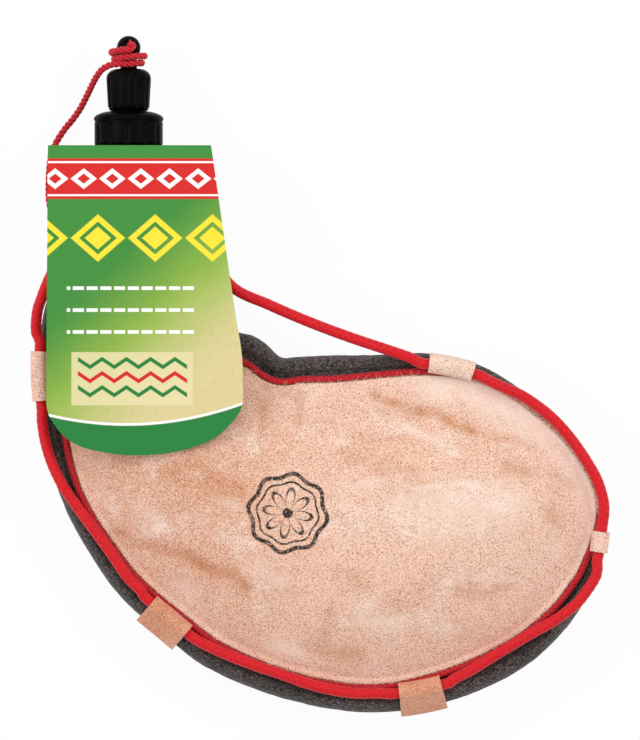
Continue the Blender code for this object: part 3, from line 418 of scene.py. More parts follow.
# Colours as eight bit display values
SUEDE_BASE = (246, 197, 167)
SUEDE_PALE = (253, 228, 212)
SUEDE_PINK = (243, 203, 184)
SUEDE_WARM = (216, 148, 112)
SUEDE_TAN = (220, 162, 126)
# Painted light near the suede's cut edge, against the shade on the slope there
SUEDE_PAINTED_EDGE_LIGHT = (255, 214, 188)
# Painted shade in the creases
SHADE_TINT = (222, 188, 158)
SUEDE_GRAIN = (176, 102, 66)
# Painted highlight of the pale strokes
SUEDE_PAINTED_HIGHLIGHT = (255, 236, 224)
SUEDE_FIBRE = (255, 222, 200)
LOOP_TAN = (214, 134, 94)
LOOP_TAN_LIGHT = (240, 194, 164)
LOOP_LEFT = (253, 212, 186)
LOOP_PALE = (250, 226, 206)
LOOP_RIGHT = (255, 214, 196)
FELT_DARK = (32, 27, 28)
FELT_MID = (70, 62, 61)
FELT_LIGHT = (142, 132, 126)
# Each cord has its red and a deeper red of painted shade for the grooves between its strands
STRAP_RED = (216, 16, 30)
STRAP_GROOVE_SHADE = (180, 10, 24)
PIPING_RED = (198, 20, 34)
PIPING_GROOVE_SHADE = (156, 12, 24)
TETHER_RED = (204, 24, 42)
TETHER_GROOVE_SHADE = (112, 8, 20)
PLASTIC_BLACK = (2, 2, 2)
PLASTIC_WORN = (6, 5, 5)
CARD_GREEN = (66, 140, 62)
CARD_DEEP_GREEN = (44, 128, 62)
CARD_OLIVE = (150, 184, 74)
CARD_KRAFT = (220, 206, 150)
CARD_RED = (214, 44, 42)
CARD_YELLOW = (250, 226, 60)
CARD_WHITE = (252, 252, 248)
CARD_BACK = (196, 176, 132)
INK = (34, 28, 26)
LINER_WHITE = (226, 224, 216)
RUBBER_RED = (120, 60, 50)


def linear(colour):
    """Display values to the linear colour that a shader takes."""
    shares = [c / 255.0 for c in colour]
    return tuple(s / 12.92 if s <= 0.04045 else ((s + 0.055) / 1.055) ** 2.4 for s in shares) + (1.0,)


# Node materials
class Look:
    """A material with a Principled shader and short ways to add nodes to it."""

    def __init__(self, name, roughness, **settings):
        self.material = bpy.data.materials.new(name)
        self.material.use_nodes = True
        self.tree = self.material.node_tree
        self.shader = self.tree.nodes["Principled BSDF"]
        self.set(self.shader, {"Roughness": roughness, "Metallic": 0.0})
        self.set(self.shader, {key.replace("_", " "): value for key, value in settings.items()})

    def set(self, node, inputs):
        for key, value in inputs.items():
            if isinstance(value, bpy.types.NodeSocket):
                self.tree.links.new(value, node.inputs[key])
            else:
                node.inputs[key].default_value = value

    def add(self, kind, inputs=(), **settings):
        node = self.tree.nodes.new("ShaderNode" + kind)
        for key, value in settings.items():
            setattr(node, key, value)
        self.set(node, dict(inputs))
        return node

    def math(self, operation, a, b=0.0, c=0.0, clamp=False):
        node = self.add("Math", {0: a, 1: b, 2: c}, operation=operation, use_clamp=clamp)
        return node.outputs[0]

    def place(self):
        return self.add("TexCoord").outputs["Object"]

    def noise(self, vector, scale, detail=2.0, roughness=0.5):
        inputs = {"Vector": vector, "Scale": scale, "Detail": detail, "Roughness": roughness}
        return self.add("TexNoise", inputs).outputs["Fac"]

    def step(self, value, low, high):
        """Smooth share from 0 below low to 1 above high."""
        inputs = {"Value": value, "From Min": low, "From Max": high}
        return self.add("MapRange", inputs, interpolation_type="SMOOTHSTEP").outputs[0]

    def mix(self, share, a, b, blend="MIX"):
        node = self.add("Mix", {0: share, 6: a, 7: b}, data_type="RGBA", blend_type=blend)
        return node.outputs[2]

    def attribute(self, name):
        return self.add("Attribute", attribute_name=name).outputs["Fac"]

    def bump(self, height, distance, strength=1.0, normal=None):
        inputs = {"Height": height, "Distance": distance, "Strength": strength}
        if normal is not None:
            inputs["Normal"] = normal
        return self.add("Bump", inputs).outputs["Normal"]

    def colour(self, socket):
        self.set(self.shader, {"Base Color": socket})

    def normal(self, socket):
        self.set(self.shader, {"Normal": socket})


def suede_stamp(look, place):
    """Worn ink of a plain rosette in a scalloped ring, as a share of ink at each place."""
    centre, turn = STAMP_CENTRE, math.radians(STAMP_TURN)
    moved = look.add("VectorMath", {0: place, 1: (-centre[0], -centre[1], 0.0)}, operation="ADD").outputs[0]
    parts = look.add("SeparateXYZ", {0: moved})
    x, y = parts.outputs[0], parts.outputs[1]
    radius = look.math("SQRT", look.math("ADD", look.math("MULTIPLY", x, x), look.math("MULTIPLY", y, y)))
    angle = look.math("ADD", look.math("ARCTAN2", y, x), turn)

    def ring(level, half_width):
        off = look.math("ABSOLUTE", look.math("SUBTRACT", radius, level))
        return look.math("SUBTRACT", 1.0, look.step(off, half_width * 0.7, half_width * 1.3))

    eight = look.math("COSINE", look.math("MULTIPLY", angle, 8.0))
    scallop = look.math("MULTIPLY_ADD", eight, STAMP_RADIUS * 0.055, STAMP_RADIUS)
    outer = ring(scallop, 0.00095)
    inner = ring(look.math("MULTIPLY_ADD", eight, STAMP_RADIUS * 0.03, STAMP_RADIUS * 0.80), 0.00045)
    four = look.math("ABSOLUTE", look.math("COSINE", look.math("MULTIPLY", angle, 4.0)))
    petal_edge = look.math("MULTIPLY", look.math("POWER", four, 0.55), STAMP_RADIUS * 0.64)
    petals = ring(petal_edge, 0.00085)
    core = look.math("SUBTRACT", 1.0, look.step(radius, 0.0021, 0.0025))
    ink = look.math("MAXIMUM", look.math("MAXIMUM", outer, inner), look.math("MAXIMUM", petals, core))
    within = look.math("SUBTRACT", 1.0, look.step(radius, STAMP_RADIUS * 1.15, STAMP_RADIUS * 1.2))
    worn = look.step(look.noise(place, 1300.0, 3.0, 0.65), 0.32, 0.46)
    patchy = look.step(look.noise(place, 260.0, 2.0), 0.30, 0.50)
    wear = look.math("MULTIPLY", worn, look.math("MULTIPLY_ADD", patchy, 0.25, 0.73))
    return look.math("MULTIPLY", look.math("MULTIPLY", ink, within), wear)


def suede(name, base, stamped=False, mottle_and_edge_light=1.0, light=SUEDE_PALE):
    """Split leather: broad tones, a coarse grain of brown and pale fibres, painted light near the cut edge, and
    strokes of painted shade and painted highlight kept on the mesh.
    """
    look = Look(name, 0.95, Sheen_Weight=0.12, Sheen_Roughness=0.6, Specular_IOR_Level=0.12)
    place = look.place()
    broad = look.step(look.noise(place, 13.0, 3.0, 0.55), 0.36, 0.64)
    tone = look.mix(look.math("MULTIPLY", broad, 0.7 * mottle_and_edge_light), linear(base), linear(SUEDE_PINK))
    tone = look.mix(look.math("MULTIPLY", look.attribute("warm"), 0.85), tone, linear(SUEDE_WARM))
    stretched = look.add("Mapping", {"Vector": place, "Rotation": (0.0, 0.0, 0.45), "Scale": (0.7, 1.5, 1.0)})
    streak = look.noise(stretched.outputs[0], 36.0, 6.0, 0.68)
    tan = look.math("MULTIPLY", look.step(streak, 0.46, 0.70), 0.95 * mottle_and_edge_light)
    tone = look.mix(tan, tone, linear(SUEDE_TAN))
    pale = look.math("MULTIPLY", look.step(look.noise(place, 58.0, 5.0, 0.70), 0.48, 0.70), 0.90 * mottle_and_edge_light)
    tone = look.mix(pale, tone, linear(SUEDE_PALE))
    # Painted light: the suede is made paler within 20 mm of its cut edge, against the shade on the slope there
    edge = look.math("SUBTRACT", 1.0, look.step(look.attribute("edge_depth"), 0.0, 0.0200))
    tone = look.mix(look.math("MULTIPLY", edge, 0.45 * mottle_and_edge_light), tone, linear(SUEDE_PAINTED_EDGE_LIGHT))

    fine = look.noise(place, 1900.0, 2.0, 0.7)
    clumps = look.math("MULTIPLY_ADD", look.noise(place, 210.0, 3.0, 0.6), 1.3, 0.25)
    dark_grain = look.math("MULTIPLY", look.step(look.noise(place, 1600.0, 3.0, 0.75), 0.46, 0.60), clumps)
    tone = look.mix(look.math("MULTIPLY", dark_grain, 0.92, clamp=True), tone, linear(SUEDE_GRAIN))
    pale_grain = look.math("MULTIPLY", look.step(fine, 0.46, 0.62), 0.76)
    tone = look.mix(pale_grain, tone, linear(light))

    # Painted shade along the creases and painted highlights on the nap, broken up by noise
    broken = look.math("MULTIPLY_ADD", look.noise(place, 150.0, 5.0, 0.75), 1.8, 0.05)
    shade = look.math("MULTIPLY", look.attribute("shade"), broken, clamp=True)
    tone = look.mix(shade, tone, linear(SHADE_TINT), "MULTIPLY")
    painted_highlight = look.math("MULTIPLY", look.math("MULTIPLY", look.attribute("painted_highlight"), broken), 0.68, clamp=True)
    tone = look.mix(painted_highlight, tone, linear(SUEDE_PAINTED_HIGHLIGHT))
    if stamped:
        tone = look.mix(suede_stamp(look, place), tone, linear(INK))
    look.colour(tone)
    nap = look.math("MULTIPLY_ADD", fine, 0.8, look.math("MULTIPLY", look.noise(place, 420.0, 3.0, 0.6), 0.9))
    look.normal(look.bump(nap, 0.0004, 0.75))
    return look.material


def felt():
    look = Look("felt", 1.0, Sheen_Weight=0.25, Sheen_Roughness=0.5, Specular_IOR_Level=0.05)
    place = look.place()
    wool = look.noise(place, 620.0, 4.0, 0.75)
    tone = look.mix(look.step(wool, 0.36, 0.62), linear(FELT_DARK), linear(FELT_MID))
    strands = look.add("Mapping", {"Vector": place, "Rotation": (0.3, 0.2, 0.9), "Scale": (0.5, 1.4, 1.0)})
    pale = look.step(look.noise(strands.outputs[0], 1700.0, 2.0, 0.7), 0.50, 0.66)
    tone = look.mix(look.math("MULTIPLY", pale, 0.66), tone, linear(FELT_LIGHT))
    broad = look.step(look.noise(place, 70.0, 2.0), 0.3, 0.7)
    shade = look.math("MULTIPLY_ADD", broad, 0.35, 0.82)
    tone = look.mix(1.0, tone, shade, "MULTIPLY")
    look.colour(tone)
    fuzz = look.math("ADD", wool, look.math("MULTIPLY", look.noise(place, 1900.0, 2.0), 0.6))
    look.normal(look.bump(fuzz, 0.0005, 0.8))
    return look.material


def cord_look(name, bright, groove_shade, low, high, filament):
    """Cord fibres: a deeper colour of painted shade in the grooves between strands, filaments along the lay."""
    look = Look(name, 0.55, Sheen_Weight=0.20, Sheen_Roughness=0.4, Specular_IOR_Level=0.25)
    # Painted shade: the deeper colour where the strands' relief is low
    relief = look.step(look.attribute("relief"), low, high)
    tone = look.mix(relief, linear(groove_shade), linear(bright))
    across = look.add("UVMap", uv_map="cord").outputs[0]
    threads = look.add("Mapping", {"Vector": across, "Scale": filament}).outputs[0]
    yarn = look.noise(threads, 1.0, 2.0, 0.6)
    shade = look.add("MapRange", {"Value": yarn, "From Min": 0.3, "From Max": 0.7, "To Min": 0.82, "To Max": 1.10})
    tone = look.mix(1.0, tone, shade.outputs[0], "MULTIPLY")
    look.colour(tone)
    look.normal(look.bump(yarn, 0.00012, 0.7))
    return look.material


def black_plastic():
    look = Look("black plastic", 0.24, Specular_IOR_Level=0.035)
    place = look.place()
    cloud = look.noise(place, 160.0, 4.0, 0.6)
    tone = look.mix(look.step(cloud, 0.35, 0.7), linear(PLASTIC_BLACK), linear(PLASTIC_WORN))
    look.colour(tone)
    rough = look.add("MapRange", {"Value": cloud, "From Min": 0.3, "From Max": 0.7, "To Min": 0.20, "To Max": 0.36})
    look.set(look.shader, {"Roughness": rough.outputs[0]})
    look.normal(look.bump(look.noise(place, 420.0, 2.0), 0.00008, 0.35))
    return look.material


def plain(name, colour, roughness, scale, depth):
    """Moulded rubber or plastic, or fibre: one colour with a fine uneven tone and grain."""
    look = Look(name, roughness)
    place = look.place()
    cloud = look.noise(place, scale, 3.0, 0.6)
    shade = look.math("MULTIPLY_ADD", cloud, 0.3, 0.85)
    look.colour(look.mix(1.0, linear(colour), shade, "MULTIPLY"))
    look.normal(look.bump(cloud, depth, 0.4))
    return look.material


# Card print: plain bands, a row of diamonds, rules and a woven zigzag on green that fades to kraft
def card_print():
    look = Look("tag card", 0.42, Specular_IOR_Level=0.12)
    parts = look.add("SeparateXYZ", {0: look.add("UVMap", uv_map="card").outputs[0]})
    across, down = parts.outputs[0], parts.outputs[1]
    share = look.math("DIVIDE", down, TAG_LENGTH)
    spot = look.add("CombineXYZ", {0: across, 1: down}).outputs[0]
    drift = look.math("ADD", share, look.math("MULTIPLY", across, 6.5))
    soft = look.math("MULTIPLY_ADD", look.noise(spot, 60.0, 3.0, 0.6), 0.08, -0.04)
    drift = look.math("ADD", drift, soft)
    olive = look.mix(look.step(drift, 0.30, 0.74), linear(CARD_GREEN), linear(CARD_OLIVE))
    fibre_spot = look.add("Mapping", {"Vector": spot, "Scale": (1.0, 0.25, 1.0)}).outputs[0]
    fibre = look.step(look.noise(fibre_spot, 900.0, 3.0, 0.7), 0.56, 0.72)
    kraft = look.mix(look.math("MULTIPLY", fibre, 0.45), linear(CARD_KRAFT), linear((176, 154, 92)))
    specks = look.step(look.noise(spot, 1400.0, 1.0), 0.66, 0.74)
    kraft = look.mix(look.math("MULTIPLY", specks, 0.5), kraft, linear((150, 126, 70)))
    tone = look.mix(look.step(drift, 0.56, 0.98), olive, kraft)

    def band(value, low, high, soft=0.0012):
        above = look.step(value, low - soft, low + soft)
        below = look.math("SUBTRACT", 1.0, look.step(value, high - soft, high + soft))
        return look.math("MULTIPLY", above, below)

    def folded(value, period):
        """Distance to the middle of each repeat, as a share of half its length."""
        return look.math("MULTIPLY", look.math("PINGPONG", value, period / 2.0), 2.0 / period)

    def lay(tone, share_of_ink, colour):
        return look.mix(share_of_ink, tone, linear(colour))

    curve = look.math("MULTIPLY", look.math("MULTIPLY", across, across), 26.0)
    hem = look.math("ADD", share, curve)
    tone = lay(tone, look.step(hem, 0.895, 0.903), CARD_DEEP_GREEN)
    tone = lay(tone, band(hem, 0.892, 0.900), CARD_WHITE)
    tone = lay(tone, band(share, 0.045, 0.175), CARD_RED)
    tone = lay(tone, band(share, 0.054, 0.060), CARD_WHITE)
    tone = lay(tone, band(share, 0.160, 0.166), CARD_WHITE)

    def diamonds(middle, half_height, period, fill, colour, tone):
        rise = look.math("DIVIDE", look.math("ABSOLUTE", look.math("SUBTRACT", share, middle)), half_height)
        size = look.math("ADD", rise, look.math("SUBTRACT", 1.0, folded(across, period)))
        inside = look.math("SUBTRACT", 1.0, look.step(size, fill - 0.04, fill + 0.04))
        return lay(tone, inside, colour)

    tone = diamonds(0.110, 0.036, 0.0125, 0.92, CARD_WHITE, tone)
    tone = diamonds(0.110, 0.036, 0.0125, 0.46, CARD_RED, tone)
    tone = diamonds(0.300, 0.080, 0.0250, 0.95, CARD_YELLOW, tone)
    hole_rise = look.math("DIVIDE", look.math("ABSOLUTE", look.math("SUBTRACT", share, 0.300)), 0.080)
    hole = look.math("ADD", hole_rise, look.math("SUBTRACT", 1.0, folded(across, 0.0250)))
    tone = look.mix(band(hole, 0.46, 0.66, 0.02), tone, olive)
    for level in (0.455, 0.525, 0.595):
        dash = look.step(folded(across, 0.0060), 0.16, 0.22)
        rule = look.math("MULTIPLY", band(share, level, level + 0.011, 0.0016), dash)
        within = band(across, -0.0260, 0.0300, 0.0004)
        tone = lay(tone, look.math("MULTIPLY", rule, within), CARD_WHITE)
    panel = look.math("MULTIPLY", band(share, 0.665, 0.835), band(across, -0.0240, 0.0290, 0.0002))
    tone = look.mix(look.math("MULTIPLY", panel, 0.85), tone, linear((232, 220, 170)))
    weave = folded(across, 0.0106)
    for level, colour in ((0.700, CARD_DEEP_GREEN), (0.745, CARD_RED), (0.790, CARD_DEEP_GREEN)):
        line = look.math("SUBTRACT", share, look.math("MULTIPLY_ADD", weave, 0.026, level - 0.013))
        zigzag = look.math("MULTIPLY", band(line, -0.007, 0.007), band(across, -0.0212, 0.0265, 0.0002))
        tone = lay(tone, zigzag, colour)
    inked = look.add("MapRange", {"Value": look.noise(spot, 1800.0, 1.0), "To Min": 0.94, "To Max": 1.05})
    tone = look.mix(1.0, tone, inked.outputs[0], "MULTIPLY")
    look.colour(tone)
    look.normal(look.bump(look.noise(spot, 1500.0, 2.0), 0.00005, 0.3))
    return look.material


# Meshes
def put_in_scene(name, points, faces, looks, smooth_angle=180.0):
    mesh = bpy.data.meshes.new(name)
    mesh.from_pydata([tuple(p) for p in points], [], faces)
    for look in looks:
        mesh.materials.append(look)
    mesh.shade_smooth()
    if smooth_angle < 180.0:
        mesh.set_sharp_from_angle(angle=math.radians(smooth_angle))
    piece = bpy.data.objects.new(name, mesh)
    bpy.context.scene.collection.objects.link(piece)
    return piece


def face_out(piece):
    shell = bmesh.new()
    shell.from_mesh(piece.data)
    bmesh.ops.recalc_face_normals(shell, faces=shell.faces)
    shell.to_mesh(piece.data)
    shell.free()
    return piece


def keep_values(piece, name, values):
    layer = piece.data.attributes.new(name, "FLOAT", "POINT")
    layer.data.foreach_set("value", np.asarray(values, dtype=np.float32))


def keep_map(piece, name, pairs):
    """A UV map from one pair of coordinates a point."""
    layer = piece.data.uv_layers.new(name=name)
    corners = np.empty(len(piece.data.loops), dtype=np.int32)
    piece.data.loops.foreach_get("vertex_index", corners)
    layer.data.foreach_set("uv", np.asarray(pairs, dtype=np.float32)[corners].ravel())


def smooth_step(value, low, high):
    share = np.clip((value - low) / (high - low), 0.0, 1.0)
    return share * share * (3.0 - 2.0 * share)


def smooth_curve(points, per_span):
    """Points of a Catmull-Rom curve through the given points."""
    known = np.array(points, dtype=float)
    before = 2.0 * known[0] - known[1]
    after = 2.0 * known[-1] - known[-2]
    known = np.vstack([before, known, after])
    shares = np.linspace(0.0, 1.0, per_span, endpoint=False)[:, None]
    spans = []
    for a, b, c, d in zip(known, known[1:], known[2:], known[3:]):
        cubic = (3.0 * b - a - 3.0 * c + d) * shares**3
        square = (2.0 * a - 5.0 * b + 4.0 * c - d) * shares**2
        spans.append(0.5 * (2.0 * b + (c - a) * shares + square + cubic))
    return np.vstack([*spans, known[-2:-1]])


def travel_along(points):
    steps = np.linalg.norm(np.diff(points, axis=0), axis=1)
    return np.concatenate([[0.0], np.cumsum(steps)])


def even_points(points, spacing):
    """Points at equal steps of about the spacing along a line of close points."""
    travelled = travel_along(points)
    count = max(3, int(round(travelled[-1] / spacing)) + 1)
    wanted = np.linspace(0.0, travelled[-1], count)
    return np.column_stack([np.interp(wanted, travelled, axis) for axis in points.T])


def value_noise(x, y, seed):
    """Smooth noise from -1 to 1 with features of about one unit."""
    cell_x, cell_y = np.floor(x), np.floor(y)
    share_x, share_y = x - cell_x, y - cell_y
    share_x = share_x * share_x * (3.0 - 2.0 * share_x)
    share_y = share_y * share_y * (3.0 - 2.0 * share_y)

    def corner(i, j):
        mixed = np.sin(i * 127.1 + j * 311.7 + seed * 74.7) * 43758.5453
        return (mixed - np.floor(mixed)) * 2.0 - 1.0

    low = corner(cell_x, cell_y) * (1.0 - share_x) + corner(cell_x + 1.0, cell_y) * share_x
    high = corner(cell_x, cell_y + 1.0) * (1.0 - share_x) + corner(cell_x + 1.0, cell_y + 1.0) * share_x
    return low * (1.0 - share_y) + high * share_y


# The outline and everything that follows it
OUTLINE = smooth_curve(np.array(RIM_SHARES) * np.array([BAG_WIDTH, BAG_HEIGHT, RIM_WIDTH]), 40)
OUTLINE_LENGTH = travel_along(OUTLINE[:, :2])[-1]
OUTLINE_TRAVEL = travel_along(OUTLINE[:, :2]) / OUTLINE_LENGTH
OUTLINE_TANGENTS = np.gradient(OUTLINE[:, :2], axis=0)
OUTLINE_TANGENTS /= np.linalg.norm(OUTLINE_TANGENTS, axis=1)[:, None]


def along(share):
    """Place, inward direction and edge width at a share of the outline's length."""
    x, y, width = (np.interp(share, OUTLINE_TRAVEL, axis) for axis in OUTLINE.T)
    tx, ty = (np.interp(share, OUTLINE_TRAVEL, axis) for axis in OUTLINE_TANGENTS.T)
    long = math.hypot(tx, ty)
    return np.array([x, y]), np.array([-ty, tx]) / long, width


def inside(share, depth):
    place, inward, _ = along(share)
    return place + inward * depth


def rim_half(y):
    thin = smooth_step(y, RIM_THIN_START, RIM_END)
    return RIM_HALF + (RIM_HALF_AT_NECK - RIM_HALF) * thin


def rim_bulge(width, y):
    full = np.clip((width / RIM_WIDTH - 0.30) / 0.48, 0.0, 1.0)
    return (RIM_LEAST_BULGE + (RIM_BULGE - RIM_LEAST_BULGE) * full) * rim_half(y) / RIM_HALF


def rim_section(width, y, tuck=RIM_TUCK):
    bulge, half = rim_bulge(width, y), rim_half(y)
    upper = [(depth * width, height * bulge) for depth, height in RIM_SECTION_SHARES]
    upper += [(RIM_FLAT_SHARE * width, half), (width + tuck, half)]
    return [(0.0, 0.0), *upper, *[(depth, -height) for depth, height in reversed(upper)]]


def neck_rail(side, radius, rows, top):
    heights = np.linspace(top, NECK_START + RIM_TUCK, rows)
    return [np.array([NECK_X + side * radius, y]) for y in heights]


def across_shares(count, neck_share):
    even = np.linspace(0.0, 1.0, count + 1)
    mix = 0.75 + 0.25 * neck_share
    return even * (1.0 - mix) + (1.0 - np.cos(math.pi * even)) / 2.0 * mix


def patch(rows, neck_rows, across, inset, neck_radius, top):
    """Plan points of a panel between the outline's two long sides, the neck and the round end."""
    steps = np.linspace(0.0, 1.0, rows + 1) ** PATCH_CROWDING
    lower = [inside(s, along(s)[2] + inset) for s in steps * LOWER_SIDE_SHARE]
    upper = [inside(s, along(s)[2] + inset) for s in 1.0 - steps * (1.0 - UPPER_SIDE_SHARE)]
    left = neck_rail(-1.0, neck_radius, neck_rows, top) + lower
    right = neck_rail(1.0, neck_radius, neck_rows, top) + upper
    grid = []
    for row, (a, b) in enumerate(zip(left, right)):
        neck_share = float(smooth_step((a[1] + b[1]) / 2.0, NECK_BLEND_START, NECK_START))
        row_share = max(0.0, (row - neck_rows) / rows)
        shares = across_shares(across, neck_share if row < neck_rows + rows / 2 else 0.0)
        ends = LOWER_SIDE_SHARE + (UPPER_SIDE_SHARE - LOWER_SIDE_SHARE) * shares
        end_points = np.array([inside(e, along(e)[2] + inset) for e in ends])
        v = shares[:, None]
        straight_end = left[-1] * (1.0 - v) + right[-1] * v
        grid.append(a * (1.0 - v) + b * v + (end_points - straight_end) * row_share**3)
    return np.array(grid)


def edge_distance(flat, inset, neck_radius, top):
    shares = np.linspace(0.0, 1.0, 700)
    edge = [inside(s, along(s)[2] + inset) for s in shares]
    rails = neck_rail(-1.0, neck_radius, 40, top) + neck_rail(1.0, neck_radius, 40, top)
    edge = np.array(edge + rails)
    nearest = np.full(len(flat), np.inf)
    for start in range(0, len(edge), 60):
        part = edge[start : start + 60]
        apart = np.linalg.norm(flat[:, None, :] - part[None, :, :], axis=2).min(axis=1)
        nearest = np.minimum(nearest, apart)
    return nearest


def panel_heights(grid, gaps, base, neck_radius):
    """Height of each panel point over the seam, pillowed in the body and a half circle at the neck."""
    y = grid[:, :, 1]
    share = np.clip((gaps - SEAM_FLANGE) / PILLOW_REACH, 0.0, 1.0)
    half = rim_half(y - RIM_TUCK)
    body = half + GAP + base + PANEL_RISE * (1.0 - (1.0 - share) ** 2.2)
    off = np.clip(np.abs(grid[:, :, 0] - NECK_X) / neck_radius, 0.0, 1.0)
    seam = half * (1.0 - smooth_step(y, RIM_END, NECK_START + RIM_TUCK))
    neck = np.maximum(neck_radius * np.sqrt(1.0 - off**2), NECK_SEAM) + seam
    blend = smooth_step(y, NECK_BLEND_START, NECK_START) ** 2
    return body * (1.0 - blend) + neck * blend


def grid_faces(rows, columns, first=0, flip=False):
    faces = []
    for i in range(rows - 1):
        for j in range(columns - 1):
            a = first + i * columns + j
            quad = (a, a + 1, a + columns + 1, a + columns)
            faces.append(quad[::-1] if flip else quad)
    return faces


def border(rows, columns):
    """Indices round the edge of a grid, in order."""
    top = [(0, j) for j in range(columns)]
    right = [(i, columns - 1) for i in range(1, rows)]
    low = [(rows - 1, j) for j in range(columns - 2, -1, -1)]
    left = [(i, 0) for i in range(rows - 2, 0, -1)]
    return [i * columns + j for i, j in top + right + low + left]


def soft_leather(grid, gaps, seed):
    """Depth of the puckers along the seam, of the broad hollows and of the pleats bound at the neck."""
    x, y = grid[:, :, 0], grid[:, :, 1]
    hollows = 0.5 + 0.5 * value_noise(x / 0.045, y / 0.045, seed)
    hollows += 0.4 * (0.5 + 0.5 * value_noise(x / 0.018 + 7.0, y / 0.018, seed + 3.0))
    depth = HOLLOW_DEPTH * hollows * smooth_step(gaps, 0.006, 0.030)
    turn = np.arctan2(y - 0.01, x - 0.01) * 0.12
    ripple = value_noise(turn / 0.0085, gaps / 0.030, seed + 11.0)
    depth += PUCKER_DEPTH * (0.5 + 0.5 * ripple) * smooth_step(gaps, 0.0006, 0.003) * np.exp(-gaps / 0.008)
    off = np.clip((x - NECK_X) / NECK_RADIUS, -1.0, 1.0)
    pleats = 0.5 - 0.5 * np.cos(np.arccos(off) * 13.0 + 2.0 * value_noise(x / 0.006, y / 0.03, seed))
    depth += PLEAT_DEPTH * pleats * smooth_step(y, 0.085, 0.132) * smooth_step(gaps, 0.0004, 0.004)
    return depth


def strokes(x, y, table, seed):
    """Strength of soft strokes at each place, with wavering edges."""
    shift_x = 0.0022 * value_noise(x / 0.011, y / 0.011, seed) + 0.0008 * value_noise(x / 0.004, y / 0.004, seed)
    shift_y = 0.0022 * value_noise(x / 0.011, y / 0.011, seed + 4.0)
    most = np.zeros_like(x)
    for start_x, start_y, end_x, end_y, half_width, strength in table:
        run = np.array([end_x - start_x, end_y - start_y])
        reach = ((x - start_x) * run[0] + (y - start_y) * run[1]) / np.dot(run, run)
        share = np.clip(reach, 0.0, 1.0)
        off = np.hypot(x + shift_x - start_x - run[0] * share, y + shift_y - start_y - run[1] * share)
        most = np.maximum(most, strength * np.exp(-((off / half_width) ** 2)))
    return most


def make_panel(name, look, side, seed):
    """A suede panel with a cut edge, its outer face dented inwards only."""
    grid = patch(PANEL_ROWS, PANEL_NECK_ROWS, PANEL_ACROSS, 0.0, NECK_RADIUS, NECK_END)
    rows, columns = grid.shape[:2]
    gaps = edge_distance(grid.reshape(-1, 2), 0.0, NECK_RADIUS, NECK_END).reshape(rows, columns)
    # Painted shade along the creases and painted highlights on the nap, kept at each point for the suede look
    shade = strokes(grid[:, :, 0] * side, grid[:, :, 1], SHADE_STROKES, seed)
    painted_highlight = strokes(grid[:, :, 0] * side, grid[:, :, 1], PAINTED_HIGHLIGHT_STROKES, seed + 2.0)
    heights = panel_heights(grid, gaps, LEATHER, NECK_RADIUS)
    skin = np.dstack([grid, SEAM_LEVEL + side * heights])
    down, over = np.gradient(skin, axis=0), np.gradient(skin, axis=1)
    normals = np.cross(down, over)
    normals /= np.maximum(np.linalg.norm(normals, axis=2), 1e-12)[:, :, None]
    normals *= np.where(normals[:, :, 2] * side < 0.0, -1.0, 1.0)[:, :, None]
    sunk = soft_leather(grid, gaps, seed) + CREASE_DEPTH * shade * smooth_step(gaps, 0.002, 0.008)
    outer = skin - normals * sunk[:, :, None]
    ragged = EDGE_RAGGED * value_noise(grid[:, :, 0] / 0.0012, grid[:, :, 1] / 0.0012, seed + 5.0)
    outer[:, :, 2] -= side * np.abs(ragged) * (gaps < 0.0004)
    outer[:, :, 2] = np.maximum(outer[:, :, 2], 0.0)
    inner = skin - normals * LEATHER * 0.98
    inner[:, :, 2] = np.maximum(inner[:, :, 2], LEATHER * 0.98 if side < 0.0 else 0.0)
    seam_floor = SEAM_LEVEL + side * (rim_half(grid[:, :, 1] - RIM_TUCK) * (grid[:, :, 1] < NECK_START) + PLAY)
    inner[:, :, 2] = np.maximum(inner[:, :, 2] * side, seam_floor * side) * side
    points = np.vstack([outer.reshape(-1, 3), inner.reshape(-1, 3)])
    count = rows * columns
    faces = grid_faces(rows, columns) + grid_faces(rows, columns, count, True)
    edge = border(rows, columns)
    for a, b in zip(edge, edge[1:] + edge[:1]):
        faces.append((b, a, a + count, b + count))
    piece = face_out(put_in_scene(name, points, faces, [look], 50.0))
    warm = smooth_step(-grid[:, :, 0], -WARM_LEFT[0], -WARM_LEFT[1])
    warm = np.maximum(warm, WARM_LOW_SHARE * smooth_step(-grid[:, :, 1], -WARM_LOW[0], -WARM_LOW[1]))
    # edge_depth is the distance from the cut edge, which sets the painted light near it
    keep_values(piece, "edge_depth", np.concatenate([gaps.ravel(), np.zeros(count)]))
    for kind, values in (("shade", shade), ("painted_highlight", painted_highlight), ("warm", warm)):
        keep_values(piece, kind, np.tile(values.ravel(), 2))
    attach(piece, "bag")
    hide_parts(name)
    return piece


# Cords
def frames_along(line):
    """Tangents and two cross directions along a line of close points, turned as little as possible."""
    tangents = np.gradient(line, axis=0)
    tangents /= np.linalg.norm(tangents, axis=1)[:, None]
    first = np.cross(tangents[0], (0.0, 0.0, 1.0))
    if np.linalg.norm(first) < 0.1:
        first = np.cross(tangents[0], (0.0, 1.0, 0.0))
    sides = [first / np.linalg.norm(first)]
    for tangent in tangents[1:]:
        side = sides[-1] - tangent * np.dot(sides[-1], tangent)
        sides.append(side / np.linalg.norm(side))
    sides = np.array(sides)
    return tangents, sides, np.cross(tangents, sides)


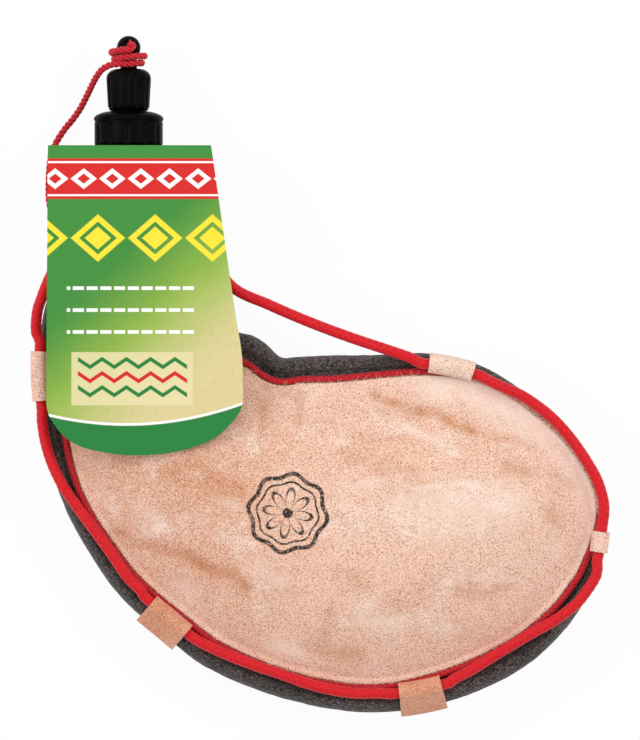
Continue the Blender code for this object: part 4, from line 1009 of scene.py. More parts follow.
def braid(angle, travel, radius):
    """Skin radius and relief of a round braid of four strands each way."""
    turn, lay = angle / (2.0 * math.pi) * BRAID_STRANDS, travel / BRAID_PITCH * BRAID_STRANDS
    one, other = turn + lay, turn - lay
    over = np.cos(math.pi * (other - 0.5)) * np.where(np.floor(one) % 2.0 < 0.5, 1.0, -1.0)
    under = -np.cos(math.pi * (one - 0.5)) * np.where(np.floor(other) % 2.0 < 0.5, 1.0, -1.0)
    first = np.sqrt(np.abs(np.sin(math.pi * one))) * (0.75 + 0.25 * over)
    second = np.sqrt(np.abs(np.sin(math.pi * other))) * (0.75 + 0.25 * under)
    relief = np.maximum(first, second)
    return radius - BRAID_DEPTH * (1.0 - relief), relief


def twist(angle, travel, radius):
    """Skin radius and relief of three strands laid together."""
    strand, offset = radius * TWIST_STRAND_SHARE, radius * (1.0 - TWIST_STRAND_SHARE)
    lobe = (angle - travel / TWIST_PITCH * 2.0 * math.pi) / (2.0 * math.pi / 3.0)
    off = (lobe - np.round(lobe)) * 2.0 * math.pi / 3.0
    skin = offset * np.cos(off) + np.sqrt(strand**2 - (offset * np.sin(off)) ** 2)
    return skin, (skin / radius - 0.6) / 0.4


def cord_rings(line, diameter, lay, sides):
    tangents, one, other = frames_along(line)
    angle = np.arange(sides) * 2.0 * math.pi / sides
    travel = travel_along(line)
    skin, relief = lay(angle[None, :], travel[:, None], diameter / 2.0)
    across = np.cos(angle)[None, :, None] * one[:, None, :] + np.sin(angle)[None, :, None] * other[:, None, :]
    points = line[:, None, :] + skin[:, :, None] * across
    maps = np.dstack(np.broadcast_arrays(angle[None, :] / (2.0 * math.pi), travel[:, None]))
    return points, relief, maps


def tube(name, rings, look, first=0, last=None):
    """A capped tube from a run of rings."""
    points, relief, maps = (part[first:last] for part in rings)
    rows, sides = points.shape[:2]
    skin = points.reshape(-1, 3)
    ends = [points[0].mean(axis=0), points[-1].mean(axis=0)]
    faces = []
    for row in range(rows - 1):
        for k in range(sides):
            a, b = row * sides + k, row * sides + (k + 1) % sides
            faces.append((a, b, b + sides, a + sides))
    for k in range(sides):
        after = (k + 1) % sides
        faces.append((rows * sides, after, k))
        faces.append((rows * sides + 1, (rows - 1) * sides + k, (rows - 1) * sides + after))
    piece = face_out(put_in_scene(name, np.vstack([skin, ends]), faces, [look]))
    keep_values(piece, "relief", np.concatenate([relief.ravel(), [0.3, 0.3]]))
    keep_map(piece, "cord", np.vstack([maps.reshape(-1, 2), maps[0, :1], maps[-1, :1]]))
    return piece


def winding(start_y, reach, pitch, turns, clockwise, first_angle, spread=0.0):
    """A helix round the neck's axis."""
    share = np.linspace(0.0, 1.0, turns * 24 + 1)
    angle = first_angle + (-1.0 if clockwise else 1.0) * 2.0 * math.pi * turns * share
    wide = reach + spread * share
    x, z = NECK_X + wide * np.cos(angle), SEAM_LEVEL + wide * np.sin(angle)
    return np.column_stack([x, start_y + pitch * turns * share, z])


def rest_height(depth, width, y):
    """Height over the seam at which the strap's middle rests on the felt, the piping and the panel's edge."""
    half = rim_half(y)
    under = [(d, h, 0.0) for d, h in smooth_curve(rim_section(width, y)[1 : len(RIM_SECTION_SHARES) + 3], 4)]
    under.append((width - GAP - PIPING / 2.0, half + GAP + PIPING / 2.0, PIPING / 2.0))
    under += [(width + step * SEAM_FLANGE, half + GAP + LEATHER, 0.0) for step in (0.0, 0.5, 1.0)]
    heights = []
    for middle, height, radius in under:
        apart = STRAP / 2.0 + radius + STRAP_REST
        if abs(middle - depth) < apart:
            heights.append(height + math.sqrt(apart**2 - (middle - depth) ** 2))
    return max(heights, default=half + GAP + PIPING)


def loop_seat(width, y, outwards):
    """Depth and height of the strap's middle inside a loop, beside the piping or further outwards."""
    reach = STRAP / 2.0 + GAP + PLAY + LOOP_LEATHER / 2.0
    depth = width - GAP - PIPING / 2.0 - reach - outwards * RIM_WIDTH
    return depth, rest_height(depth, width, y)


def loop_path(width, y, outwards):
    """Middle line of a loop's leather, as depth from the outer line and height above the seam."""
    bulge = rim_bulge(width, y)
    half = rim_half(y)
    rest = GAP + LOOP_REST + LOOP_LEATHER / 2.0
    reach = STRAP / 2.0 + GAP + PLAY + LOOP_LEATHER / 2.0
    piping_depth = width - GAP - PIPING / 2.0
    piping_top = half + GAP + PIPING
    strap_depth, strap_level = loop_seat(width, y, outwards)
    start = max(piping_depth, strap_depth + reach)
    path = [(start, piping_top + GAP + PLAY + LOOP_LEATHER / 2.0)]
    for step in range(1, 7):
        angle = math.radians(LOOP_TURN_DEGREES) * step / 6
        path.append((strap_depth + reach * math.cos(angle), strap_level + reach * math.sin(angle)))
    path += [
        (min(-rest, strap_depth - reach), 0.30 * strap_level),
        (-rest, -0.20 * bulge),
    ]
    if width > NARROW_RIM:
        clear_shares = [(1.0, 0.5), (0.5, 1.0), (0.0, 1.0), (0.0, 1.0)]
        for (depth, height), (aside, under) in zip(RIM_SECTION_SHARES, clear_shares):
            path.append((depth * width - aside * rest, -height * bulge - under * rest))
        path.append(((RIM_FLAT_SHARE + 0.04) * width, -half - rest))
    else:
        under = piping_top + GAP + PLAY + LOOP_LEATHER / 2.0
        path += [
            (-rest / 2.0, -0.60 * under),
            (0.16 * width, -0.86 * under),
            (0.36 * width, -under),
            (piping_depth, -under),
        ]
    return path


def strap_route():
    """Points of the strap from the neck, across the bay, round the edge through the loops and back. Between
    the loops, which hold it down, it sags a little from one high place to the next."""
    stations = []
    for share, depth_share in STRAP_ON_EDGE_SHARES:
        depth = depth_share * RIM_WIDTH
        place = inside(share, depth)
        stations.append((share, *place, rest_height(depth, along(share)[2], place[1]), 1.0))
    for _, middle, length, outwards in LOOPS:
        for side in (-1.0, -0.5, 0.0, 0.5, 1.0):
            share = middle + side * (length / 2.0 + LOOP_LEAD) / OUTLINE_LENGTH
            depth, height = loop_seat(along(middle)[2], along(share)[0][1], outwards)
            stations.append((share, *inside(share, depth), height, 0.0))
    edge = [station[1:] for station in sorted(stations, reverse=True)]
    neck = np.array([NECK_X, STRAP_WRAP_START, 0.0])
    across = np.array(STRAP_ACROSS_SHARES) * [BAG_WIDTH, BAG_HEIGHT, 1.0]
    first = np.insert(np.vstack([neck + STRAP_FROM_NECK, across]), 3, 1.0, axis=1)
    last = np.insert(neck + STRAP_TO_NECK, 3, 1.0, axis=1)
    route = np.vstack([first, edge, last])
    apart = np.linalg.norm(route[:, None, :2] - route[None, :, :2], axis=2)
    hung = (route[None, :, 2] - STRAP_SAG * apart**2).max(axis=1)
    heights = np.where(route[:, 3] > 0.0, hung, route[:, 2])
    return np.column_stack([route[:, :2], SEAM_LEVEL + heights])


def make_strap(look):
    """The strap from its binding turns round the neck, over the bag and back to the neck."""
    reach = NECK_RADIUS + GAP + STRAP / 2.0
    turns = winding(STRAP_WRAP_START, reach, STRAP_WRAP_PITCH, 2, True, math.pi / 2.0)
    run = smooth_curve(strap_route(), 12)
    line = even_points(np.vstack([turns, run, turns[:1] - (0.0022, 0.0, 0.0)]), 0.0004)
    piece = tube("strap", cord_rings(line, STRAP * 0.98, braid, 28), look)
    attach(piece, "bag")
    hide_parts("shoulder_strap", "strap_neck_binding")


def make_tether(look):
    """The tether in the stretches that its bodies carry: turns on the neck, two free runs and the knot."""
    reach = NECK_RADIUS + GAP + TETHER / 2.0
    turns = winding(TETHER_WRAP_START, reach, TETHER_WRAP_PITCH, 2, False, -math.pi / 2.0)
    free = smooth_curve(TETHER_ROUTE, 12)[::-1]
    knot_reach = WAIST_RADIUS + GAP + TETHER / 2.0
    knot = winding(KNOT_START, knot_reach, KNOT_PITCH, KNOT_TURNS, True, math.pi / 2.0, KNOT_SPREAD)
    tail = knot[-1] + np.array(KNOT_TAIL)
    lead = smooth_curve(KNOT_LEAD_ROUTE, 8)
    whole = even_points(smooth_curve(np.vstack([turns, free, lead, knot, tail]), 3), 0.0003)

    def nearest(point):
        return int(np.linalg.norm(whole - point, axis=1).argmin())

    binding_end = nearest(free[0])
    turn_back = nearest(TETHER_LOW_POINT)
    free_end = nearest(free[-1])
    rings = cord_rings(whole, TETHER, twist, 24)
    parts = [
        ("tether_binding", 0, binding_end),
        ("tether_lower", binding_end, turn_back),
        ("tether_upper", turn_back, free_end),
        ("tether_knot", free_end, len(whole) - 1),
    ]
    made = [tube(name, rings, look, first, last + 1) for name, first, last in parts]
    binding, lower, upper, knotted = made
    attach(binding, "bag")
    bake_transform(lower)
    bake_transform(upper)
    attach(knotted, "knot")
    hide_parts("tether_neck_binding")
    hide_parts("cap_tether")
    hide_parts("cap_tether")
    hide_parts("tether_cap_knot")


def make_piping(name, look, side):
    shares = np.linspace(0.002, 0.998, 700)
    points = []
    for share in shares:
        place, inward, width = along(share)
        spot = place + inward * (width - GAP - PIPING / 2.0)
        height = rim_half(spot[1]) + GAP + PIPING / 2.0
        points.append((spot[0], spot[1], SEAM_LEVEL + side * height))
    line = even_points(np.array(points), 0.0007)
    piece = tube(name, cord_rings(line, PIPING, fine_cord, 12), look)
    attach(piece, "bag")
    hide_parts(name)


def fine_cord(angle, travel, radius):
    """A tight cord whose lay only marks its skin."""
    wave = 0.5 + 0.5 * np.cos(4.0 * angle - travel / 0.0105 * 2.0 * math.pi * 4.0)
    return radius - 0.00008 * (1.0 - wave), wave


# Felt edge and loops
def make_felt(look):
    count, rows = 1000, []
    for share in np.linspace(0.0, 1.0, count):
        place, inward, width = along(share)
        tuck = RIM_TUCK * (1.0 - float(smooth_step(place[1], RIM_THIN_START, RIM_END)))
        section = rim_section(width, place[1], tuck)
        heights = [rim_section(width, (place + inward * depth)[1])[k][1] for k, (depth, _) in enumerate(section)]
        knots = [(depth, height) for (depth, _), height in zip(section, heights)]
        half = len(knots) // 2
        upper = smooth_curve([(knots[1][0], -knots[1][1]), *knots[: half + 1]], FELT_SPAN)[FELT_SPAN:]
        lower = upper[1:][::-1] * (1.0, -1.0)
        swell = FELT_SWELL * float(np.interp(share, *zip(*FELT_SWELL_STRETCH)))
        for depth, height in [*upper, *lower]:
            spot = place + inward * (depth - swell * max(0.0, 1.0 - depth / (RIM_FLAT_SHARE * width)))
            rows.append((spot[0], spot[1], SEAM_LEVEL + height))
    grid = np.array(rows).reshape(count, -1, 3)
    around = grid.shape[1]
    along_rows, round_rows = np.gradient(grid, axis=0), np.gradient(grid, axis=1)
    normals = np.cross(along_rows, round_rows)
    normals /= np.maximum(np.linalg.norm(normals, axis=2), 1e-12)[:, :, None]
    middle = grid.mean(axis=1)[:, None, :]
    inwards = np.where(((grid - middle) * normals).sum(axis=2) > 0.0, -1.0, 1.0)[:, :, None]
    place_along = np.linspace(0.0, OUTLINE_LENGTH, count)[:, None]
    place_round = np.broadcast_to(np.arange(around)[None, :] * 0.0012, (count, around))
    lumps = 0.5 + 0.35 * value_noise(place_along / 0.0042, place_round / 0.0042, 21.0)
    lumps += 0.15 * value_noise(place_along / 0.0014, place_round / 0.0014, 22.0)
    points = (grid + normals * inwards * (FELT_LUMPS * lumps)[:, :, None]).reshape(-1, 3)
    faces = []
    for row in range(count - 1):
        for k in range(around):
            a, b = row * around + k, row * around + (k + 1) % around
            faces.append((a, b, b + around, a + around))
    faces += [tuple(range(around)), tuple(range((count - 1) * around, count * around))]
    piece = face_out(put_in_scene("felt", points, faces, [look], 60.0))
    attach(piece, "bag")
    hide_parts("felt_edge")


def make_loop(name, share, length, outwards, look, seed):
    """A strip of leather bent over the edge with the strap inside, its cut edges a little uneven."""
    _, _, width = along(share)
    sections = max(9, int(length / 0.0008))
    outer, inner = [], []
    for step in range(sections):
        place, inward, _ = along(share + (step / (sections - 1) - 0.5) * length / OUTLINE_LENGTH)
        line = even_points(smooth_curve(loop_path(width, place[1], outwards), 8), 0.0007)
        line = np.column_stack([np.interp(np.linspace(0, 1, LOOP_RING), np.linspace(0, 1, len(line)), axis)
                                for axis in line.T])
        tangents = np.gradient(line, axis=0)
        tangents /= np.linalg.norm(tangents, axis=1)[:, None]
        normals = np.column_stack([-tangents[:, 1], tangents[:, 0]]) * LOOP_LEATHER / 2.0
        for skin, rows in ((line + normals, outer), (line - normals, inner)):
            spots = place[None, :] + inward[None, :] * skin[:, :1]
            rows.append(np.column_stack([spots, SEAM_LEVEL + skin[:, 1]]))
    outer, inner = np.array(outer), np.array(inner)
    shift = np.gradient(outer, axis=0)[0] / np.linalg.norm(np.gradient(outer, axis=0)[0], axis=1)[:, None]
    ragged = 0.00022 * value_noise(np.arange(LOOP_RING) / 2.3, np.full(LOOP_RING, 0.5), seed)[:, None]
    for row, way in ((0, 1.0), (-1, -1.0)):
        outer[row] += way * shift * np.abs(ragged)
        inner[row] += way * shift * np.abs(ragged)
    rows, columns = outer.shape[:2]
    points = np.vstack([outer.reshape(-1, 3), inner.reshape(-1, 3)])
    count = rows * columns
    faces = grid_faces(rows, columns) + grid_faces(rows, columns, count, True)
    edge = border(rows, columns)
    for a, b in zip(edge, edge[1:] + edge[:1]):
        faces.append((b, a, a + count, b + count))
    piece = face_out(put_in_scene(name, points, faces, [look], 45.0))
    # edge_depth here is four times the distance from the loop's cut ends, which sets the painted light near them
    row_share = np.minimum(np.arange(rows), np.arange(rows)[::-1])[:, None] * length / (rows - 1)
    depth = np.broadcast_to(row_share, (rows, columns)).ravel() * 4.0
    keep_values(piece, "edge_depth", np.concatenate([depth, depth]))
    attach(piece, "bag")
    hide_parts(name)


# Turned plastic on the neck's axis, drawn as radius, height over the neck's end and share of the flutes' depth
def thread_rows(radius, first, last, pitch):
    """Rows of a threaded stretch, eleven to a turn of its thread."""
    return [(radius, height, 0.0) for height in np.arange(first, last, pitch / 11.0)]


def thread_groove(height, turn, pitch, first, last):
    """Share of a right-handed thread's depth at a height, with a run-out at both ends."""
    phase = (height / pitch - turn / (2.0 * math.pi)) % 1.0
    groove = 1.0 - smooth_step(np.abs(phase - 0.5) * 2.0, 0.30, 0.62)
    return groove * smooth_step(height, first, first + THREAD_RUNOUT) * \
        (1.0 - smooth_step(height, last - THREAD_RUNOUT, last))


def turned(name, profile, look, body, node, flute_depth, angle=40.0, thread=None):
    count = 12 * FLUTE_STEPS
    turn = np.arange(count) * 2.0 * math.pi / count
    off = np.abs(((turn / (2.0 * math.pi) * 12.0) + 0.5) % 1.0 - 0.5) * 2.0
    groove = 1.0 - smooth_step(off, 0.0, FLUTE_WIDTH)
    rings, points = [], []
    for radius, height, fluted in profile:
        y = NECK_END + GAP + height
        if radius == 0.0:
            rings.append([len(points)] * count)
            points.append((NECK_X, y, SEAM_LEVEL))
            continue
        rings.append(list(range(len(points), len(points) + count)))
        reach = radius - flute_depth * fluted * groove
        if thread and radius == thread["radius"] and thread["first"] <= height <= thread["last"]:
            reach = reach - thread["depth"] * thread_groove(height, turn, thread["pitch"], thread["first"],
                                                            thread["last"])
        for t, r in zip(turn, reach):
            points.append((NECK_X + r * math.sin(t), y, SEAM_LEVEL + r * math.cos(t)))
    faces = []
    closed = profile[0][0] != 0.0
    for row in range(len(rings) if closed else len(rings) - 1):
        a, b = rings[row], rings[(row + 1) % len(rings)]
        for step in range(count):
            after = (step + 1) % count
            faces.append(tuple(dict.fromkeys((a[step], a[after], b[after], b[step]))))
    piece = face_out(put_in_scene(name, points, faces, [look], angle))
    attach(piece, body)
    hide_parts(node)


def rounded(corner, before, after, radius, steps=5):
    """Points of a quarter bend between two straight runs that meet at a corner."""
    corner, before, after = (np.array(p, dtype=float) for p in (corner, before, after))
    back = (before - corner) / np.linalg.norm(before - corner)
    on = (after - corner) / np.linalg.norm(after - corner)
    start, end = corner + back * radius, corner + on * radius
    share = np.linspace(0.0, 1.0, steps)[:, None]
    return (1.0 - share) ** 2 * start + 2.0 * share * (1.0 - share) * corner + share**2 * end


def make_ferrule(look):
    """Tail in the neck, flange against the leather and the threaded spigot that carries the card and the collar."""
    first, last = FLANGE_THICKNESS + 0.0014, FERRULE_TOP - 0.0005
    outer = [(FERRULE_BORE, -FERRULE_TAIL), (FERRULE_TAIL_RADIUS, -FERRULE_TAIL), (FERRULE_TAIL_RADIUS, 0.0),
             (FLANGE_RADIUS - 0.0003, 0.0), (FLANGE_RADIUS, 0.0003), (FLANGE_RADIUS, FLANGE_THICKNESS - 0.0003),
             (FLANGE_RADIUS - 0.0003, FLANGE_THICKNESS), (FERRULE_RADIUS, FLANGE_THICKNESS)]
    profile = [(r, h, 0.0) for r, h in outer] + thread_rows(FERRULE_RADIUS, first, last, FERRULE_PITCH)
    profile += [(FERRULE_RADIUS, last, 0.0), (FERRULE_RADIUS - 0.0004, FERRULE_TOP, 0.0),
                (FERRULE_BORE, FERRULE_TOP, 0.0)]
    turned("ferrule", profile, look, "bag", "neck_ferrule", 0.0, 40.0,
           {"radius": FERRULE_RADIUS, "first": first, "last": last, "pitch": FERRULE_PITCH, "depth": FERRULE_THREAD})


def make_collar(look):
    """Skirt with broad flutes, a fine groove over them, a domed shoulder and the nozzle."""
    foot, top = COLLAR_FOOT, COLLAR_TOP
    flute_top = foot + COLLAR_SKIRT - 0.0012
    profile = [(COLLAR_BORE, foot, 0.0)]
    for r, h in rounded((COLLAR_RADIUS, foot), (COLLAR_BORE, foot), (COLLAR_RADIUS, top), 0.0014):
        profile.append((r, h, smooth_step(h, foot, foot + 0.0015)))
    for h in np.linspace(foot + 0.0020, flute_top - 0.0016, 6):
        profile.append((COLLAR_RADIUS, h, 1.0))
    for h, share in ((0.0012, 0.85), (0.0008, 0.55), (0.0004, 0.2), (0.0, 0.0)):
        profile.append((COLLAR_RADIUS, flute_top - h, share))
    skirt = foot + COLLAR_SKIRT
    for step, drop in ((0.0, 0.0), (0.0002, 0.00030), (0.0005, 0.00030), (0.0007, 0.0)):
        profile.append((COLLAR_RADIUS - drop, flute_top + 0.0006 + step, 0.0))
    bead, dome = COLLAR_RADIUS + COLLAR_BEAD, top - skirt
    shoulder = [(COLLAR_RADIUS, skirt + 0.0004), (bead, skirt + 0.14 * dome), (bead, skirt + 0.30 * dome),
                (0.965 * bead, skirt + 0.52 * dome), (0.84 * bead, skirt + 0.77 * dome),
                (0.69 * bead, skirt + 0.925 * dome), (COLLAR_TOP_RADIUS, top)]
    profile += [(r, h, 0.0) for r, h in smooth_curve(shoulder, 5)]
    nozzle_top = top + NOZZLE_HEIGHT
    first, last = top + 0.0010, nozzle_top - 0.0012
    profile.append((NOZZLE_RADIUS, top, 0.0))
    profile += thread_rows(NOZZLE_RADIUS, first, last, NOZZLE_PITCH)
    inner = [(NOZZLE_RADIUS, nozzle_top - 0.0007), (NOZZLE_RADIUS - 0.0007, nozzle_top),
             (0.0010, nozzle_top), (0.0010, nozzle_top - 0.0028), (0.0035, top), (0.0076, COLLAR_CEILING),
             (COLLAR_BORE, COLLAR_CEILING)]
    profile += [(r, h, 0.0) for r, h in inner]
    turned("collar", profile, look, "collar", "spout_collar", COLLAR_FLUTE, 40.0,
           {"radius": NOZZLE_RADIUS, "first": first, "last": last, "pitch": NOZZLE_PITCH, "depth": NOZZLE_THREAD})


def make_cap(look):
    """Fluted cap with a rounded shoulder, a waist and a ball on top."""
    foot, top = CAP_FOOT, CAP_TOP
    shoulder = top - CAP_SHOULDER
    profile = [(0.0, CAP_CEILING, 0.0), (CAP_BORE, CAP_CEILING, 0.0), (CAP_BORE, foot, 0.0)]
    for r, h in rounded((CAP_FOOT_RADIUS - 0.0003, foot), (CAP_BORE, foot), (CAP_RADIUS, top), 0.0013):
        profile.append((r, h, smooth_step(h, foot + 0.0004, foot + 0.0022)))
    for share in np.linspace(0.12, 0.92, 8):
        profile.append((CAP_FOOT_RADIUS + (CAP_RADIUS - CAP_FOOT_RADIUS) * share, foot + (shoulder - foot) * share, 1.0))
    bend = [(CAP_RADIUS, shoulder - 0.0004), (0.992 * CAP_RADIUS, shoulder + 0.14 * CAP_SHOULDER),
            (0.955 * CAP_RADIUS, shoulder + 0.42 * CAP_SHOULDER), (0.86 * CAP_RADIUS, shoulder + 0.70 * CAP_SHOULDER),
            (0.72 * CAP_RADIUS, shoulder + 0.90 * CAP_SHOULDER), (0.54 * CAP_RADIUS, top - 0.00005)]
    for r, h in smooth_curve(bend, 5):
        profile.append((r, h, float(1.0 - smooth_step(h, shoulder - 0.0002, shoulder + 0.36 * CAP_SHOULDER))))
    ball_foot = math.asin(WAIST_RADIUS / BALL_RADIUS)
    profile += [(WAIST_RADIUS + 0.0006, top, 0.0), (WAIST_RADIUS + 0.0001, top + 0.0002, 0.0)]
    profile += [(WAIST_RADIUS, top + 0.0008, 0.0)]
    for angle in np.linspace(ball_foot, math.pi, 20):
        profile.append((BALL_RADIUS * math.sin(angle), BALL_LEVEL - BALL_RADIUS * math.cos(angle), 0.0))
    profile[-1] = (0.0, profile[-1][1], 0.0)
    turned("cap", profile, look, "cap", "small_cap", CAP_FLUTE)


# Card tag
def line_between(points, count):
    """The given number of points at even steps along a polyline drawn as a smooth curve."""
    close = smooth_curve(points, 12)
    travelled = travel_along(close)
    wanted = np.linspace(0.0, travelled[-1], count)
    return np.column_stack([np.interp(wanted, travelled, axis) for axis in close.T])


def card_sheet(name, grid, maps, looks, closed=False):
    """A sheet of card with two skins and cut edges, printed on its upper skin."""
    rows, columns = grid.shape[:2]
    down = np.gradient(grid, axis=0)
    over = np.gradient(grid, axis=1)
    if closed:
        over = np.roll(grid, -1, axis=1) - np.roll(grid, 1, axis=1)
    normals = np.cross(down, over)
    normals /= np.maximum(np.linalg.norm(normals, axis=2), 1e-12)[:, :, None]
    upper, lower = grid + normals * CARD / 2.0, grid - normals * CARD / 2.0
    points = np.vstack([upper.reshape(-1, 3), lower.reshape(-1, 3)])
    count = rows * columns
    faces, backs = [], []
    for i in range(rows - 1):
        for j in range(columns if closed else columns - 1):
            a, b = i * columns + j, i * columns + (j + 1) % columns
            faces.append((a, a + columns, b + columns, b))
            backs.append((a + count, b + count, b + columns + count, a + columns + count))
    edges = []
    if closed:
        for row in (0, rows - 1):
            ring = [row * columns + j for j in range(columns)]
            edges += list(zip(ring, ring[1:] + ring[:1]))
    else:
        ring = border(rows, columns)
        edges += list(zip(ring, ring[1:] + ring[:1]))
    sides = [(a, b, b + count, a + count) for a, b in edges]
    piece = put_in_scene(name, points, faces + backs + sides, looks, 40.0)
    number = np.zeros(len(faces) + len(backs) + len(sides), dtype=np.int32)
    number[len(faces) :] = 1
    piece.data.polygons.foreach_set("material_index", number)
    flat = maps.reshape(-1, 2)
    keep_map(piece, "card", np.vstack([flat, flat]))
    return face_out(piece)


def make_leaf(looks):
    """The hanging leaf with the bend at its crease, between its sides and its curved lower edge."""
    wide = TAG_WIDTH
    left = line_between([(x * wide, v * TAG_LENGTH) for x, v in LEAF_LEFT], LEAF_ROWS)
    right = line_between([(x * wide, v * TAG_LENGTH) for x, v in LEAF_RIGHT], LEAF_ROWS)
    low = line_between([(x * wide, v * TAG_LENGTH) for x, v in LEAF_LOW], LEAF_COLUMNS)
    u = np.linspace(0.0, 1.0, LEAF_COLUMNS)[None, :, None]
    v = np.linspace(0.0, 1.0, LEAF_ROWS)[:, None, None]
    top = left[0] * (1.0 - u) + right[0] * u
    corners = (left[0] * (1 - u) + right[0] * u) * (1 - v) + (left[-1] * (1 - u) + right[-1] * u) * v
    flat = left[:, None, :] * (1 - u) + right[:, None, :] * u + top * (1 - v) + low[None] * v - corners
    x, run = flat[:, :, 0], flat[:, :, 1]
    crease_y, level = TAG_FLAP_Y + CARD / 2.0, TAG_LEVEL + CARD / 2.0
    bend = CREASE_RADIUS * math.pi / 2.0
    angle = np.clip(run / bend, 0.0, 1.0) * math.pi / 2.0
    beyond = np.maximum(run - bend, 0.0)
    share = beyond / TAG_LENGTH
    y = crease_y - CREASE_RADIUS * (1.0 - np.cos(angle)) - beyond
    z = level - CREASE_RADIUS * (1.0 - np.sin(angle)) + TAG_TIP_RISE * share
    bow = CARD_BOW * np.sin(math.pi * np.clip(share, 0.0, 1.0)) * (1.0 - 0.6 * (x / wide * 2.0) ** 2)
    curl = CARD_CURL * np.clip(share, 0.0, 1.0) ** 3 * (x / wide * 2.0) ** 2
    grid = np.dstack([NECK_X + x, y, z + bow + curl])
    straight = np.linspace(CREASE_STRIP, 0.0, 4)[:-1]
    strip = [np.column_stack([NECK_X + x[0], np.full(LEAF_COLUMNS, crease_y),
                              np.full(LEAF_COLUMNS, level - CREASE_RADIUS - d)]) for d in straight]
    strip_maps = [np.column_stack([x[0], np.full(LEAF_COLUMNS, -d)]) for d in straight]
    grid = np.concatenate([np.array(strip), grid])
    maps = np.concatenate([np.array(strip_maps), np.dstack([x, run])])
    piece = card_sheet("tag_leaf_card", grid, maps, looks)
    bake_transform(piece)
    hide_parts("tag_leaf")


def make_flap(looks):
    """The upright flap round the neck, from the hole to its rounded lower edge."""
    top = TAG_LEVEL + CARD / 2.0 - CREASE_RADIUS - CREASE_STRIP
    bottom = TAG_LEVEL - GAP - TAG_FLAP_DEPTH
    outline = [(x * TAG_WIDTH, top - down * (top - bottom)) for x, down in FLAP_SHARES]
    curve = line_between(outline, 150)
    crease = np.linspace(curve[-1], curve[0], 60)[1:-1]
    rim = np.vstack([curve, crease])
    turn = np.arctan2(rim[:, 1] - SEAM_LEVEL, rim[:, 0])
    hole = np.column_stack([np.cos(turn), np.sin(turn)]) * TAG_HOLE + (0.0, SEAM_LEVEL)
    share = np.linspace(0.0, 1.0, 12)[:, None, None]
    flat = rim[None] * (1.0 - share) + hole[None] * share
    y = np.full(flat.shape[:2], TAG_FLAP_Y + CARD / 2.0)
    grid = np.dstack([NECK_X + flat[:, :, 0], y, flat[:, :, 1]])
    maps = np.dstack([flat[:, :, 0], flat[:, :, 1] - top - CREASE_STRIP])
    piece = card_sheet("tag_flap_card", grid, maps, looks, True)
    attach(piece, "bag")
    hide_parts("tag_flap")


# Fibres of the suede's cut edge
def make_fringe(look, random):
    points, faces = [], []
    for side, count, first_share, last_share, longer, thicker, lift in FRINGE:
        for _ in range(count):
            share = random.uniform(first_share, last_share)
            place, inward, width = along(share)
            root = place + inward * (width + random.uniform(0.0, 0.0005))
            height = rim_half(root[1]) + GAP + LEATHER * random.uniform(0.70, 0.98)
            start = np.array([root[0], root[1], SEAM_LEVEL + side * height])
            slant = random.normal(0.0, 0.6)
            tangent = np.array([inward[1], -inward[0]])
            way = -inward * math.cos(slant) + tangent * math.sin(slant)
            length = random.uniform(0.0007, 0.0026) * longer * (1.0 if random.random() < 0.85 else 1.35)
            rise = lift + random.uniform(-0.2, 0.4)
            droop = random.uniform(-0.6, 0.1)
            thick = random.uniform(0.000030, 0.000060) * thicker
            bend = tangent * random.normal(0.0, 0.35)
            steps = np.linspace(0.0, 1.0, 5)
            line = [np.array([*(start[:2] + (way * s + bend * s * s) * length),
                              start[2] + side * (rise * s + droop * s * s) * length]) for s in steps]
            across = np.array([tangent[0], tangent[1], 0.0])
            first = len(points)
            for k, spot in enumerate(line[:-1]):
                reach = thick * (1.0 - 0.75 * k / 4.0)
                points += [spot + across * reach, spot - across * reach * 0.5 + (0.0, 0.0, reach * 0.87),
                           spot - across * reach * 0.5 - (0.0, 0.0, reach * 0.87)]
            points.append(line[-1])
            faces.append((first, first + 1, first + 2))
            for k in range(3):
                for j in range(3):
                    a, b = first + 3 * k + j, first + 3 * k + (j + 1) % 3
                    faces.append((a, b, b + 3, a + 3))
            for j in range(3):
                faces.append((first + 9 + j, first + 9 + (j + 1) % 3, first + 12))
    points = np.array(points)
    points[:, 2] = np.maximum(points[:, 2], 0.0003)
    piece = face_out(put_in_scene("suede_fringe", points, faces, [look]))
    keep_values(piece, "edge_depth", np.zeros(len(points)))
    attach(piece, "bag")


# Camera, floor and light
def make_camera():
    camera = bpy.data.cameras.new("camera")
    camera.sensor_width = camera.sensor_height = SENSOR
    camera.lens = SENSOR * (CAMERA_HEIGHT - FOCUS_LEVEL) / VIEW_HEIGHT
    eye = bpy.data.objects.new("camera", camera)
    eye.location = (*VIEW_CENTRE, CAMERA_HEIGHT)
    bpy.context.scene.collection.objects.link(eye)
    bpy.context.scene.camera = eye


def white_for_camera(tree, shader, background):
    """Shows pure white to the camera, in glossy reflections and through clear pieces."""
    path = tree.nodes.new("ShaderNodeLightPath")
    seen = tree.nodes.new("ShaderNodeMath")
    seen.operation = "MAXIMUM"
    tree.links.new(path.outputs["Is Camera Ray"], seen.inputs[0])
    both = tree.nodes.new("ShaderNodeMath")
    both.operation = "MAXIMUM"
    tree.links.new(path.outputs["Is Glossy Ray"], seen.inputs[1])
    tree.links.new(seen.outputs[0], both.inputs[0])
    tree.links.new(path.outputs["Is Transmission Ray"], both.inputs[1])
    mix = tree.nodes.new("ShaderNodeMixShader")
    tree.links.new(both.outputs[0], mix.inputs[0])
    tree.links.new(shader.outputs[0], mix.inputs[1])
    tree.links.new(background.outputs[0], mix.inputs[2])
    return mix


